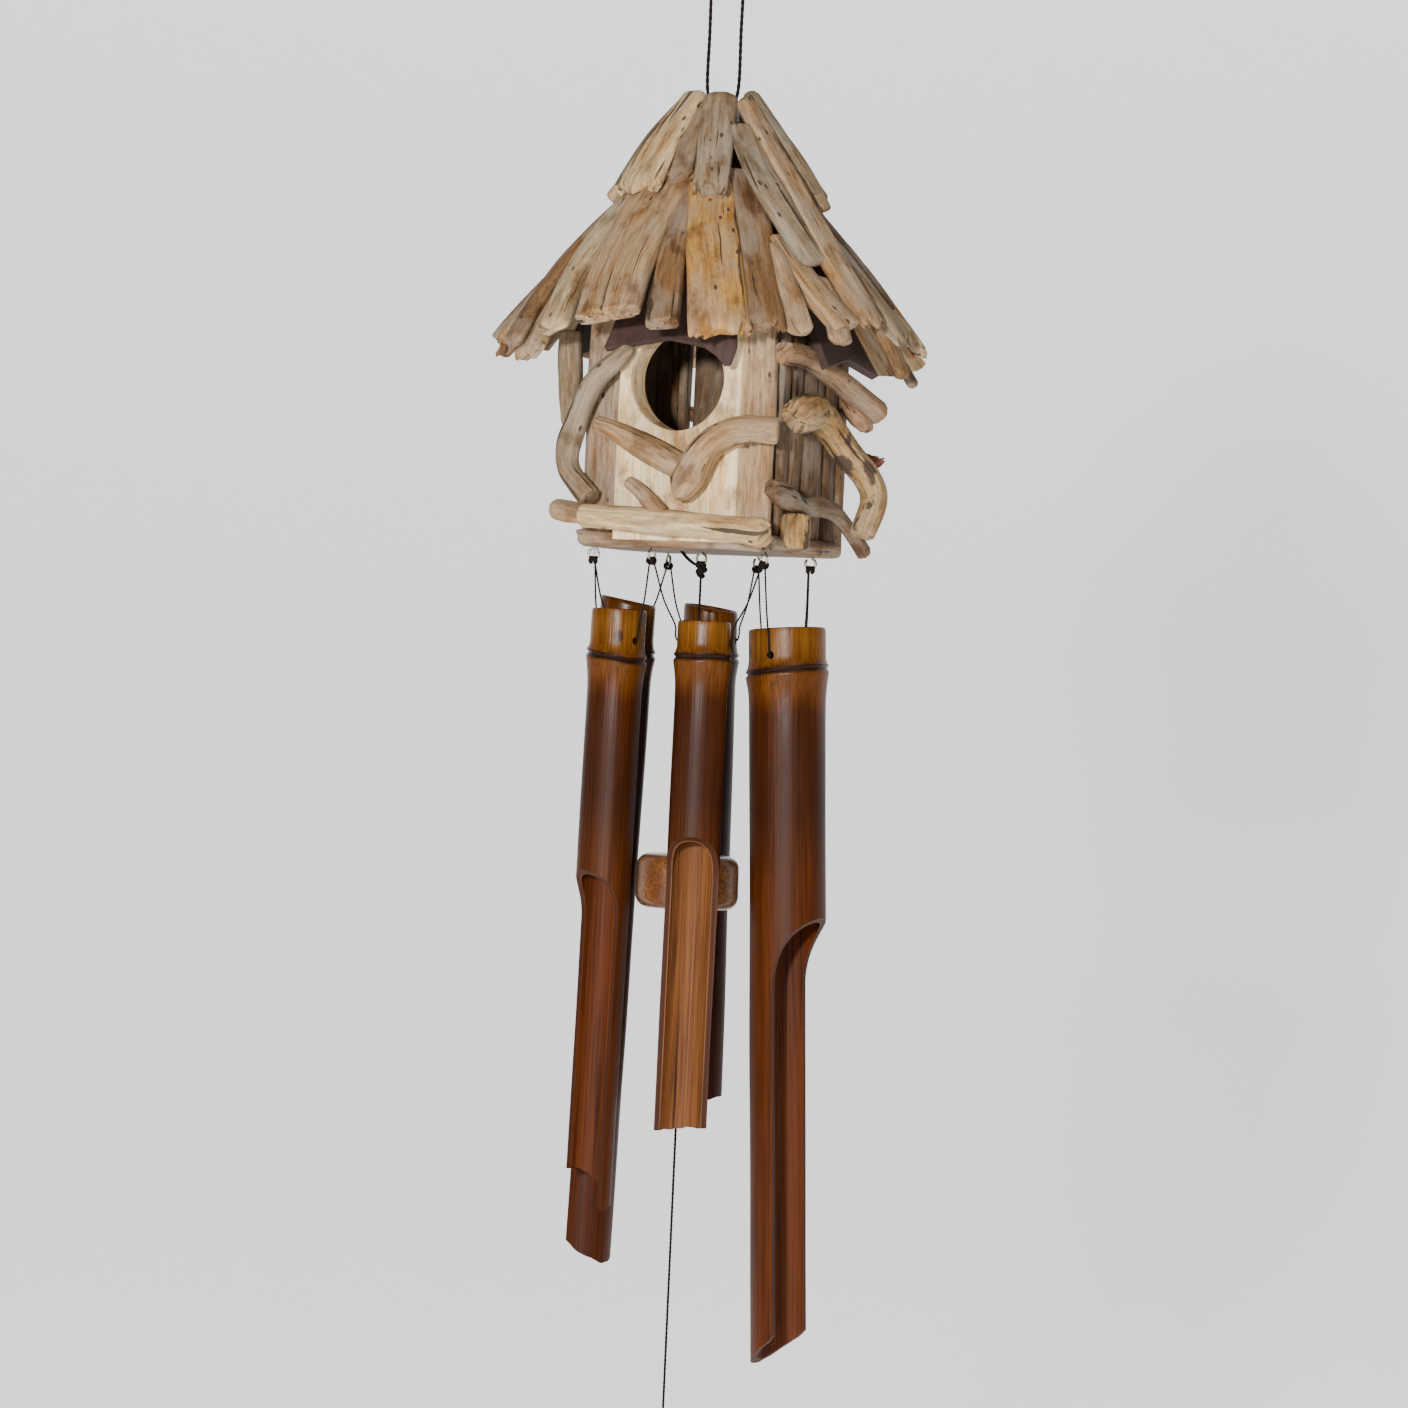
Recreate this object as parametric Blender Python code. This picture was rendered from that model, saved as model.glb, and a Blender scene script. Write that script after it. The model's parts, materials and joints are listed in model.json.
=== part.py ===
"""A driftwood bird-house wind chime: a slatted house under a shingled roof, hung on a cord,
with six bamboo pipes, a wooden clapper and a wind catcher below it.

Metres, +Z up. The origin is the top of the hanging ring's hole, where a hook bears.
The house's front faces -Y. Heights are given as depths below the top of the cord loop.
"""
import math

import bmesh
import bpy
from mathutils import Matrix, Vector

MM = 0.001
GAP = 0.3 * MM                    # between pieces that touch

# Hanging ring and cord
RING_RADIUS = 10.0 * MM           # to the middle of the wire
RING_WIRE = 1.5 * MM
CORD_RADIUS = 1.0 * MM
STRAND_SPREAD = 8.6 * MM          # half the distance between the two strands
LOOP_TOP = -2 * (RING_RADIUS - RING_WIRE) + GAP + 2 * CORD_RADIUS

# Roof, as depths and radii from the chime's axis
APEX_DEPTH = 69 * MM
UPPER_END_DEPTH = 122 * MM
LOWER_TOP_DEPTH = 118 * MM
EAVE_DEPTH = 194 * MM
KNOT_DEPTH = 98 * MM
UNDERLAY_TOP_DEPTH = 84 * MM
UNDERLAY_THICK = 4 * MM

# House
WALL_THICK = 9 * MM
HOUSE_LEFT, HOUSE_RIGHT = -44 * MM, 58 * MM
HOUSE_FRONT, HOUSE_BACK = -50 * MM, 42 * MM
PLATE_THICK = 7.7 * MM
PLATE_LEFT, PLATE_RIGHT = -22 * MM, 44 * MM
PLATE_TOP_DEPTH, PLATE_END_DEPTH = 187 * MM, 296 * MM
ENTRY_X, ENTRY_DEPTH, ENTRY_RADIUS = 9.5 * MM, 217 * MM, 25 * MM
FLOOR_TOP_DEPTH, FLOOR_END_DEPTH = 291 * MM, 299 * MM

# Screw eyes
EYE_WIRE = 0.65 * MM
EYE_RADIUS = 2.6 * MM
EYE_SHANK = 6.5 * MM
HANG_DEPTH = 307 * MM             # where the pipe cords leave the eyes

# Clapper and wind catcher
CLAPPER_RADIUS = 26 * MM
CLAPPER_TOP_DEPTH, CLAPPER_END_DEPTH = 450.5 * MM, 477.5 * MM
CLAPPER_BORE = 1.3 * MM
CLAPPER_CORD = 0.7 * MM
CATCHER_TOP_DEPTH, CATCHER_END_DEPTH = 742 * MM, 800 * MM
CATCHER_THICK = 5 * MM

SLING_RADIUS = 0.5 * MM
SLING_HOLE = 2.0 * MM
SLING_END = 1.5 * MM              # from an eye's middle to the end of the cord there
BAMBOO_WALL = 3.0 * MM

EYES = {
    "front_left": (-47 * MM, -27 * MM),
    "front": (-7 * MM, -43 * MM),
    "front_right": (47 * MM, -28 * MM),
    "back_right": (49 * MM, 24 * MM),
    "back": (12 * MM, 41 * MM),
    "back_left": (-34 * MM, 33 * MM),
}

# name: first eye, second eye, radius, top, node, scoop and end depths, lean in degrees,
# slant of the lower end along the pipe's width and depth
PIPES = {
    "front_left": ("front_left", "front", 13.5, 330, 353, 456, 616, 1.2, -0.8, 0.0),
    "front_middle": ("front", "front_right", 13.0, 334.5, 352, 437, 584, 1.2, 0.1, 0.0),
    "right": ("front_right", "back_right", 19.0, 336, 357, 474, 684.5, 3.0, 0.0, 0.8),
    "back_right": ("back_right", "back", 14.0, 338, 358, 470, 632, 3.0, 0.2, 0.0),
    "back_middle": ("back", "back_left", 13.7, 327, 350, 440, 576, 3.0, -0.1, 0.0),
    "back_left": ("back_left", "front_left", 14.0, 327, 350, 460, 648, 1.8, 0.0, 0.7),
}


def clear_scene():
    for thing in list(bpy.data.objects):
        bpy.data.objects.remove(thing, do_unlink=True)


def down(depth):
    """The height of a depth below the top of the cord loop."""
    return LOOP_TOP - depth


def material(name, colour, roughness, metallic=0.0):
    made = bpy.data.materials.new(name)
    made.use_nodes = True
    shader = made.node_tree.nodes["Principled BSDF"]
    shader.inputs["Base Color"].default_value = (*colour, 1.0)
    shader.inputs["Roughness"].default_value = roughness
    shader.inputs["Metallic"].default_value = metallic
    made.diffuse_color = (*colour, 1.0)
    return made


def link(name, data, finish):
    data.materials.append(finish)
    made = bpy.data.objects.new(name, data)
    bpy.context.scene.collection.objects.link(made)
    return made


def loft(name, rings, finish, smooth=True):
    """A closed solid through rings of equally many points, capped at both ends."""
    shape = bmesh.new()
    rows = [[shape.verts.new(p) for p in ring] for ring in rings]
    count = len(rows[0])
    for row, after in zip(rows, rows[1:]):
        for i in range(count):
            j = (i + 1) % count
            shape.faces.new((row[i], row[j], after[j], after[i]))
    shape.faces.new(list(reversed(rows[0])))
    shape.faces.new(rows[-1])
    bmesh.ops.recalc_face_normals(shape, faces=shape.faces)
    data = bpy.data.meshes.new(name)
    shape.to_mesh(data)
    shape.free()
    made = link(name, data, finish)
    if smooth:
        data.shade_smooth()
        data.set_sharp_from_angle(angle=math.radians(40))
    return made


def cut(target, cutter):
    """Takes the cutter's shape out of the target."""
    cutter.hide_render = True
    cutter.display_type = "WIRE"
    step = target.modifiers.new("cut", "BOOLEAN")
    step.operation = "DIFFERENCE"
    step.solver = "EXACT"
    step.object = cutter


def circle(radius, count, height=0.0):
    turn = 2 * math.pi / count
    return [
        Vector((radius * math.cos(i * turn), radius * math.sin(i * turn), height))
        for i in range(count)
    ]


def smooth_route(points, spacing):
    """Points about this far apart on a smooth curve through the given ones."""
    route = [Vector(p) for p in points]
    ends = [2 * route[0] - route[1], *route, 2 * route[-1] - route[-2]]
    fine = []
    for a, b, c, d in zip(ends, ends[1:], ends[2:], ends[3:]):
        steps = max(1, round((c - b).length / spacing))
        for i in range(steps):
            t = i / steps
            fine.append(
                0.5 * (2 * b + (c - a) * t + (2 * a - 5 * b + 4 * c - d) * t * t
                       + (3 * b - a - 3 * c + d) * t ** 3)
            )
    fine.append(route[-1])
    return fine


def cord(name, points, radius, finish, spacing):
    """A round cord along a route."""
    route = smooth_route(points, spacing)
    data = bpy.data.curves.new(name, "CURVE")
    data.dimensions = "3D"
    data.bevel_depth = radius
    data.bevel_resolution = 2
    data.use_fill_caps = True
    line = data.splines.new("POLY")
    line.points.add(len(route) - 1)
    for place, point in zip(line.points, route):
        place.co = (*point, 1.0)
    return link(name, data, finish)


def sweep(name, points, radii, finish, sides=8, spacing=9 * MM, flat=1.0):
    """A round stick along a route, its radius running through the given values."""
    route = smooth_route(points, spacing)
    total = len(route) - 1
    side = None
    rings = []
    for i, point in enumerate(route):
        along = (route[min(i + 1, total)] - route[max(i - 1, 0)]).normalized()
        if side is None:
            side = along.orthogonal().normalized()
        side = (side - along * side.dot(along)).normalized()
        other = along.cross(side)
        place = i / total * (len(radii) - 1)
        low = min(int(place), len(radii) - 2)
        radius = radii[low] + (radii[low + 1] - radii[low]) * (place - low)
        rings.append([point + side * p.x * flat + other * p.y for p in circle(radius, sides)])
    return loft(name, rings, finish)


def turned(name, profile, finish, sides=16):
    """A round solid from (radius, height) pairs, capped at both ends."""
    return loft(name, [circle(r, sides, z) for r, z in profile], finish)


def ball(name, centre, radius, finish):
    steps = 6
    profile = []
    for i in range(1, steps):
        angle = math.pi * i / steps
        profile.append((radius * math.sin(angle), centre + radius * math.cos(angle)))
    return turned(name, profile, finish, sides=10)


def shingle_row(name, start, end, radii, depths, finish):
    """One stretch of a roof course: start and end are angles in degrees, radii are the
    inner and outer ones at its top and at its lower end."""
    steps = 5
    rings = []
    for (inner, outer), depth in zip(radii, depths):
        ring = []
        for radius, order in ((outer, range(steps + 1)), (inner, range(steps, -1, -1))):
            for i in order:
                angle = math.radians(start + (end - start) * i / steps)
                ring.append(
                    Vector((radius * math.cos(angle), radius * math.sin(angle), down(depth)))
                )
        rings.append(ring)
    return loft(name, rings, finish, smooth=False)


def upper_shingles(finish):
    names = ("upper_shingles_right", "upper_shingles_back", "upper_shingles_left",
             "upper_shingles_front")
    radii = ((10.8 * MM, 17.5 * MM), (47.5 * MM, 56 * MM))
    for i, name in enumerate(names):
        start = -45 + 90 * i
        shingle_row(name, start + 1.3, start + 88.7, radii, (APEX_DEPTH, UPPER_END_DEPTH), finish)


def lower_shingles(finish):
    ends = {"right": 196, "back_right": 194, "back_left": 195,
            "left": 199, "front_left": 193, "front_right": 197}
    for i, (name, end) in enumerate(ends.items()):
        start = -35 + 60 * i
        extra = (end * MM - EAVE_DEPTH) * 0.84
        radii = ((34.5 * MM, 42.5 * MM), (97 * MM + extra, 108 * MM + extra))
        shingle_row("lower_shingles_" + name, start + 0.4, start + 59.6, radii,
                    (LOWER_TOP_DEPTH, end * MM), finish)


def underlay(finish):
    """Four pointed boards that carry the shingles. Each has its outward direction, its
    sideways direction, its lower end's distance and depth, and its two lower corners."""
    top_distance = 11 * MM
    top_half = 5 * MM
    boards = {
        "roof_board_front": ((0, -1), (1, 0), 72, 203, -24, 41.5),
        "roof_board_right": ((1, 0), (0, 1), 80, 208, -35, 27),
        "roof_board_back": ((0, 1), (-1, 0), 62, 203, -40, 26),
        "roof_board_left": ((-1, 0), (0, -1), 67, 203, -27, 33),
    }
    for name, (out, side, distance, depth, first, last) in boards.items():
        outward = Vector((*out, 0))
        sideways = Vector((*side, 0))
        rise = Vector((0, 0, down(UNDERLAY_TOP_DEPTH)))
        foot = outward * distance * MM
        middle = foot + sideways * (first + last) / 2 * MM + Vector((0, 0, down(depth * MM - 6 * MM)))
        middle -= outward * 3 * MM
        low = foot + Vector((0, 0, down(depth * MM)))
        outline = [
            outward * top_distance - sideways * top_half + rise,
            outward * top_distance + sideways * top_half + rise,
            low + sideways * last * MM,
            middle,
            low + sideways * first * MM,
        ]
        normal = (outline[1] - outline[0]).cross(outline[2] - outline[1]).normalized()
        if normal.dot(outward) > 0:
            normal = -normal
        loft(name, [outline, [p + normal * UNDERLAY_THICK for p in outline]], finish, smooth=False)


def slat(name, x0, x1, y0, y1, top, end, finish):
    """An upright board with eased edges."""
    ease = 1.8 * MM
    outline = [(x0 + ease, y0), (x1 - ease, y0), (x1, y0 + ease), (x1, y1 - ease),
               (x1 - ease, y1), (x0 + ease, y1), (x0, y1 - ease), (x0, y0 + ease)]
    rings = [[Vector((x, y, down(depth))) for x, y in outline] for depth in (end, top)]
    return loft(name, rings, finish, smooth=False)


def walls(finish):
    stand = FLOOR_TOP_DEPTH - GAP
    low_top = 172 * MM
    right_top = 180 * MM
    inner_front = HOUSE_FRONT + WALL_THICK
    inner_back = HOUSE_BACK - WALL_THICK
    slat("front_slat_left", HOUSE_LEFT, -21 * MM, HOUSE_FRONT, inner_front, low_top, stand, finish)
    slat("front_slat_right", 39 * MM, HOUSE_RIGHT, HOUSE_FRONT, inner_front, right_top, stand, finish)
    edges = [inner_front + GAP, -13 * MM, 14 * MM, HOUSE_BACK]
    for i in range(3):
        slat(f"right_slat_{i + 1}", HOUSE_RIGHT - WALL_THICK, HOUSE_RIGHT, edges[i],
             edges[i + 1] - GAP, right_top, stand, finish)
    edges = [inner_front + GAP, 0.0, HOUSE_BACK]
    for i in range(2):
        slat(f"left_slat_{i + 1}", HOUSE_LEFT, HOUSE_LEFT + WALL_THICK, edges[i],
             edges[i + 1] - GAP, low_top, stand, finish)
    left = HOUSE_LEFT + WALL_THICK + GAP
    right = HOUSE_RIGHT - WALL_THICK - GAP
    for i, (x0, x1) in enumerate(((left, -29 * MM), (-26.5 * MM, 10 * MM), (10.6 * MM, right))):
        slat(f"back_slat_{i + 1}", x0, x1, inner_back, HOUSE_BACK, low_top, stand, finish)


def front_plate(finish):
    """The pale board with the round way in."""
    y0 = HOUSE_FRONT - GAP - PLATE_THICK
    y1 = HOUSE_FRONT - GAP
    plate = slat("front_plate", PLATE_LEFT, PLATE_RIGHT, y0, y1, PLATE_TOP_DEPTH,
                 PLATE_END_DEPTH, finish)
    reach = 2 * PLATE_THICK
    across = Matrix.Translation((ENTRY_X, (y0 + y1) / 2, down(ENTRY_DEPTH)))
    across @= Matrix.Rotation(math.radians(90), 4, "X")
    rings = [[across @ p for p in circle(ENTRY_RADIUS, 40, h)] for h in (-reach, reach)]
    cut(plate, loft("entry_cutter", rings, finish))


def floor_board(finish):
    """The board that closes the house below, drilled for the screw eyes."""
    outline = [(-52, -27), (-45, -44), (-38, -50), (52, -50), (58, -44), (58, 36), (50, 47),
               (2, 47), (-36, 42), (-46, 36), (-52, 20)]
    rings = [[Vector((x * MM, y * MM, down(depth))) for x, y in outline]
             for depth in (FLOOR_END_DEPTH, FLOOR_TOP_DEPTH)]
    board = loft("floor_board", rings, finish, smooth=False)
    drill = EYE_WIRE + 0.5 * MM
    for name, (x, y) in (*EYES.items(), ("centre", (0.0, 0.0))):
        place = Vector((x, y, down(FLOOR_END_DEPTH)))
        rings = [[place + p for p in circle(drill, 8, h)] for h in (-2 * MM, EYE_SHANK + 0.6 * MM)]
        cut(board, loft("drill_" + name, rings, finish))


def screw_eye(name, x, y, turn, finish):
    """A wire that runs down out of the floor and round into a ring."""
    middle = -GAP - EYE_WIRE - EYE_RADIUS
    path = [(0.0, EYE_SHANK), (0.0, 3 * MM), (0.15 * MM, 1.0 * MM)]
    steps = 11
    for i in range(steps + 1):
        angle = math.radians(72 - 300 * i / steps)
        path.append((EYE_RADIUS * math.cos(angle), middle + EYE_RADIUS * math.sin(angle)))
    across = Vector((math.cos(turn), math.sin(turn), 0))
    place = Vector((x, y, down(FLOOR_END_DEPTH)))
    points = [place + across * side + Vector((0, 0, rise)) for side, rise in path]
    sweep(name, points, (EYE_WIRE, EYE_WIRE), finish, sides=6, spacing=1.4 * MM)


def screw_eyes(finish):
    for name, (x, y) in EYES.items():
        screw_eye("screw_eye_" + name, x, y, math.atan2(y, x), finish)
    screw_eye("screw_eye_centre", 0.0, 0.0, 0.0, finish)


def hanging(steel, twine):
    """The steel ring, the doubled cord and its knot under the roof's peak."""
    steps = 24
    rings = []
    middle = -(RING_RADIUS - RING_WIRE)
    for i in range(steps):
        angle = 2 * math.pi * i / steps
        out = Vector((0, math.cos(angle), math.sin(angle)))
        centre = Vector((0, 0, middle)) + out * RING_RADIUS
        rings.append([centre + out * p.x + Vector((p.y, 0, 0)) for p in circle(RING_WIRE, 8)])
    closed_ring("hanging_ring", rings, steel)
    spread = STRAND_SPREAD
    low = down(KNOT_DEPTH - 4.6 * MM)
    side = [(2.2 * MM, 0, low), (5.4 * MM, 0, down(80 * MM)), (spread, 0, down(66 * MM)),
            (spread, 0, down(40 * MM)), (spread, 0, down(14 * MM)),
            (6.4 * MM, 0, down(5.5 * MM)), (3.2 * MM, 0, down(1.9 * MM))]
    route = [(-x, y, z) for x, y, z in side] + [(0, 0, down(CORD_RADIUS))] + side[::-1]
    cord("hanging_cord", route, CORD_RADIUS, twine, 5 * MM)
    ball("hanging_knot", down(KNOT_DEPTH), 4.2 * MM, twine)


def closed_ring(name, rings, finish):
    """A ring of wire through sections that run all the way round."""
    shape = bmesh.new()
    rows = [[shape.verts.new(p) for p in ring] for ring in rings]
    count = len(rows[0])
    for row, after in zip(rows, rows[1:] + rows[:1]):
        for i in range(count):
            j = (i + 1) % count
            shape.faces.new((row[i], row[j], after[j], after[i]))
    bmesh.ops.recalc_face_normals(shape, faces=shape.faces)
    data = bpy.data.meshes.new(name)
    shape.to_mesh(data)
    shape.free()
    data.shade_smooth()
    return link(name, data, finish)


def branches(finish):
    """Bent sticks glued round the house. Routes in millimetres, with depths for heights."""
    sticks = {
        "branch_left": (((-20, -66, 208), (-33, -63, 219), (-44, -57.5, 238), (-49, -57, 256),
                         (-47, -57.5, 264), (-35, -61.5, 271)), (4.5, 5.5, 5.5, 5)),
        "branch_front": (((-31, -66.5, 239), (-7, -66.5, 252), (11, -66.8, 265), (22, -67, 266),
                          (30, -66.8, 248), (48, -65.5, 242), (66, -59, 241)),
                         (3.5, 4.5, 7, 7.5, 6, 6, 6)),
        "perch": (((-51, -65.2, 284), (8, -65.2, 288), (66, -65.2, 291)), (5.2, 6.2, 6)),
        "branch_right_top": (((66, -58, 204), (66.5, -33, 204), (69, 2, 212), (78, 33, 226)),
                             (4.5, 5, 5.5, 6)),
        "branch_right_middle": (((68, -40, 229), (69, -4, 234), (76, 12, 249), (84, 16, 268),
                                 (83, 8, 286)), (8.5, 7.5, 7, 6, 6)),
        "branch_right_bottom": (((66, -67, 272), (66, -28, 277), (67, 10, 276), (72, 37, 295)),
                                (5, 5, 5, 4.5)),
    }
    for name, (points, radii) in sticks.items():
        route = [Vector((x * MM, y * MM, down(depth * MM))) for x, y, depth in points]
        sweep(name, route, [r * MM for r in radii], finish)


def clapper(wood, twine):
    """The knot under the middle eye, the cord, the turned clapper and its lower knot."""
    ball("centre_knot", down(HANG_DEPTH + 2 * MM), 2.3 * MM, twine)
    top = HANG_DEPTH + 2 * MM + 2.3 * MM + GAP
    fall = CLAPPER_END_DEPTH - top
    route = [(0, 0, down(top + fall * i / 4)) for i in range(5)]
    cord("clapper_cord", route, CLAPPER_CORD, twine, 4.2 * MM)
    high, low = down(CLAPPER_TOP_DEPTH), down(CLAPPER_END_DEPTH)
    ease = 5 * MM
    outer = [(CLAPPER_RADIUS - ease, high), (CLAPPER_RADIUS - 0.3 * ease, high - 0.3 * ease),
             (CLAPPER_RADIUS, high - ease), (CLAPPER_RADIUS, low + ease),
             (CLAPPER_RADIUS - 0.3 * ease, low + 0.3 * ease), (CLAPPER_RADIUS - ease, low)]
    profile = [(CLAPPER_BORE, high), *outer, (CLAPPER_BORE, low)]
    closed_ring("clapper", revolved(profile, 28), wood)


def revolved(profile, sides):
    """Sections of a turned ring, each a profile of (radius, height) pairs."""
    turn = 2 * math.pi / sides
    return [
        [Vector((r * math.cos(i * turn), r * math.sin(i * turn), z)) for r, z in profile]
        for i in range(sides)
    ]


def wind_catcher(wood, twine):
    """The lower cord and the flat leaf-shaped catcher on it."""
    knot_middle = CLAPPER_END_DEPTH + GAP + 2.4 * MM
    ball("tail_knot", down(knot_middle), 2.3 * MM, twine)
    top = knot_middle + 2.3 * MM + GAP
    fall = CATCHER_TOP_DEPTH - GAP - top
    route = [(0, 0, down(top + fall * i / 4)) for i in range(5)]
    cord("tail_cord", route, CLAPPER_CORD, twine, 4.2 * MM)
    height = CATCHER_END_DEPTH - CATCHER_TOP_DEPTH
    half = 27 * MM
    outline = []
    steps = 24
    for i in range(steps):
        angle = 2 * math.pi * i / steps
        rise = 0.5 + 0.5 * math.cos(angle)
        width = half * math.sin(angle) * (1.12 - 0.55 * rise)
        outline.append(Vector((width, 0, down(CATCHER_END_DEPTH) + height * rise)))
    back = Vector((0, CATCHER_THICK / 2, 0))
    loft("wind_catcher", [[p - back for p in outline], [p + back for p in outline]], wood)


def pipe_frame(first, second, lean):
    """The matrix of a pipe: X along the line between its eyes, Y away from the chime's
    axis, Z up the leaning pipe, with its origin midway between the eyes."""
    a = Vector((*EYES[first], 0))
    b = Vector((*EYES[second], 0))
    along = (b - a).normalized()
    outward = along.cross(Vector((0, 0, 1)))
    middle = (a + b) / 2 + Vector((0, 0, down(HANG_DEPTH)))
    place = Matrix((along, outward, Vector((0, 0, 1)))).transposed().to_4x4()
    handed = Matrix.Rotation(math.radians(lean), 4, "X")
    return Matrix.Translation(middle) @ place @ handed, (b - a).length / 2


def pipe(name, bamboo, twine):
    """A bamboo pipe, closed at its node and cut to a half pipe below, with the cord that
    runs through its two side holes to the two eyes."""
    first, second, size, top, node, scoop, end, lean, slant_x, slant_y = PIPES[name]
    place, half_span = pipe_frame(first, second, lean)
    radius = size * MM
    rim, knuckle, start, foot = (HANG_DEPTH - d * MM for d in (top, node, scoop, end))
    bore = radius - BAMBOO_WALL
    sides = 20
    levels = [(rim, 0), (knuckle + 7 * MM, 0), (knuckle + 1.6 * MM, 0.9), (knuckle, 0.2),
              (knuckle - 2 * MM, 1.0), (knuckle - 9 * MM, 0.1), (start, 0.3)]
    rings = [circle(bore, sides, knuckle + 1.5 * MM), circle(bore, sides, rim)]
    rings += [circle(radius + swell * MM, sides, z) for z, swell in levels]
    for reach in (radius, bore):
        slanted = circle(reach, sides, foot)
        for p in slanted:
            p.z += p.x * slant_x + p.y * slant_y
        rings.append(slanted)
    rings.append(circle(bore, sides, knuckle - 1.5 * MM))
    tube = loft("pipe_" + name, [[place @ p for p in ring] for ring in rings], bamboo)

    hole = knuckle + 7.5 * MM
    turn = Matrix.Translation((0, 0, hole)) @ Matrix.Rotation(math.radians(90), 4, "Y")
    rings = [[place @ turn @ p for p in circle(SLING_HOLE, 10, h)] for h in (-3 * radius, 3 * radius)]
    cut(tube, loft("sling_cutter_" + name, rings, bamboo))

    reach = 2 * radius
    keep = 0.5 * MM
    throat = 2.0 * radius
    profile = [(keep + (reach - keep) * (1 - math.sin(t)), start - throat * (1 - math.cos(t)))
               for t in (math.radians(15 * i) for i in range(7))]
    profile = profile[::-1]
    low = foot - 3 * radius
    outline = [(keep, low), *profile, (reach, low)]
    rings = [[place @ Vector((x, y, z)) for y, z in outline] for x in (-reach, reach)]
    cut(tube, loft("scoop_cutter_" + name, rings, bamboo, smooth=False))
    sling(name, place, half_span, radius, hole, twine)


def sling(name, place, half_span, radius, hole, twine):
    """The cord through the pipe's side holes, up to an eye at each side."""
    reach = half_span - SLING_END
    edge = radius + 1.3 * MM
    bend = hole + 3 * MM
    middle = ((reach + edge) / 2 + 0.6 * MM, 0, bend / 2)
    side = [(reach, 0, 0), middle, (edge + 0.5 * MM, 0, bend + 5 * MM), (edge, 0, bend),
            (radius + 0.3 * MM, 0, hole + 0.4 * MM), (radius - 2.6 * MM, 0, hole - 0.3 * MM),
            (radius * 0.45, 0, hole - 0.7 * MM)]
    route = [(-x, y, z) for x, y, z in side] + [(0, 0, hole - 0.9 * MM)] + side[::-1]
    cord("sling_" + name, [place @ Vector(p) for p in route], SLING_RADIUS, twine, 3.2 * MM)


def main():
    clear_scene()
    driftwood = material("driftwood", (0.50, 0.39, 0.26), 0.8)
    slats = material("slats", (0.42, 0.33, 0.26), 0.8)
    pale = material("pale_board", (0.80, 0.68, 0.48), 0.65)
    brown = material("brown_board", (0.20, 0.10, 0.07), 0.7)
    bamboo = material("bamboo", (0.30, 0.09, 0.03), 0.3)
    amber = material("clapper_wood", (0.42, 0.20, 0.07), 0.4)
    steel = material("steel", (0.72, 0.70, 0.66), 0.3, 1.0)
    twine = material("twine", (0.03, 0.02, 0.02), 0.7)
    hanging(steel, twine)
    underlay(brown)
    upper_shingles(driftwood)
    lower_shingles(driftwood)
    walls(slats)
    front_plate(pale)
    floor_board(slats)
    branches(driftwood)
    screw_eyes(steel)
    for name in PIPES:
        pipe(name, bamboo, twine)
    clapper(amber, twine)
    wind_catcher(amber, twine)


main()
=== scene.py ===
"""The looks of the driftwood bird-house wind chime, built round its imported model."""
import json
import random
from math import atan, atan2, copysign, cos, exp, hypot, pi, radians, sin, sqrt

import bmesh
import bpy
from mathutils import Matrix, Quaternion, Vector, noise


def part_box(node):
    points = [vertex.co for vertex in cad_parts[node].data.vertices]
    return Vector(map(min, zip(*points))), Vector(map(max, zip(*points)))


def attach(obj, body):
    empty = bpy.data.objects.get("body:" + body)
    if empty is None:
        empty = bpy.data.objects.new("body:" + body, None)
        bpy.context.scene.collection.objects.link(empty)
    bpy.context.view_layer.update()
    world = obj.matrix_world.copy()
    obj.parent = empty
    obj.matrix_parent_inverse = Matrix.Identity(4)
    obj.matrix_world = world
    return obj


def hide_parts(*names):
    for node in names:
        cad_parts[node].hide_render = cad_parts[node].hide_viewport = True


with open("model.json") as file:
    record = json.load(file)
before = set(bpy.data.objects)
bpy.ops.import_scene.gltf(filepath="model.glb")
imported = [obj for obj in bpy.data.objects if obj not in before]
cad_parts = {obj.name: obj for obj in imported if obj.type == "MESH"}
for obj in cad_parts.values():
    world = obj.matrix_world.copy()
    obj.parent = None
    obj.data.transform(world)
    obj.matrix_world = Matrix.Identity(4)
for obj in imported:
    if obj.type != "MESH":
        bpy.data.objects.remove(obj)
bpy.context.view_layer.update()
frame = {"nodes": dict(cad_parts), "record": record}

MM = 0.001
LOOP_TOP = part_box("hanging_cord")[1][2]
CAMERA_TURN = radians(25)
SCREEN_RIGHT = Vector((cos(CAMERA_TURN), sin(CAMERA_TURN), 0))
TO_CAMERA = Vector((sin(CAMERA_TURN), -cos(CAMERA_TURN), 0))
BODY = {node: body for body, nodes in frame["record"]["behaviour"]["bodies"].items()
        for node in nodes}

EYES = {name: (x * MM, y * MM) for name, x, y in (
    ("front_left", -47, -27), ("front", -7, -43), ("front_right", 47, -28),
    ("back_right", 49, 24), ("back", 12, 41), ("back_left", -34, 33),
)}
EYE_WIRE, EYE_RADIUS, EYE_SHANK = 0.65 * MM, 2.6 * MM, 6.5 * MM
FLOOR_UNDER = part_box("floor_board")[0][2]
HANG_DEPTH = 307 * MM
SLING_RADIUS = 0.5 * MM
SLING_END = 1.5 * MM
BAMBOO_WALL = 3.0 * MM
CORD_HOLE_RISE = 7.5 * MM
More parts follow.
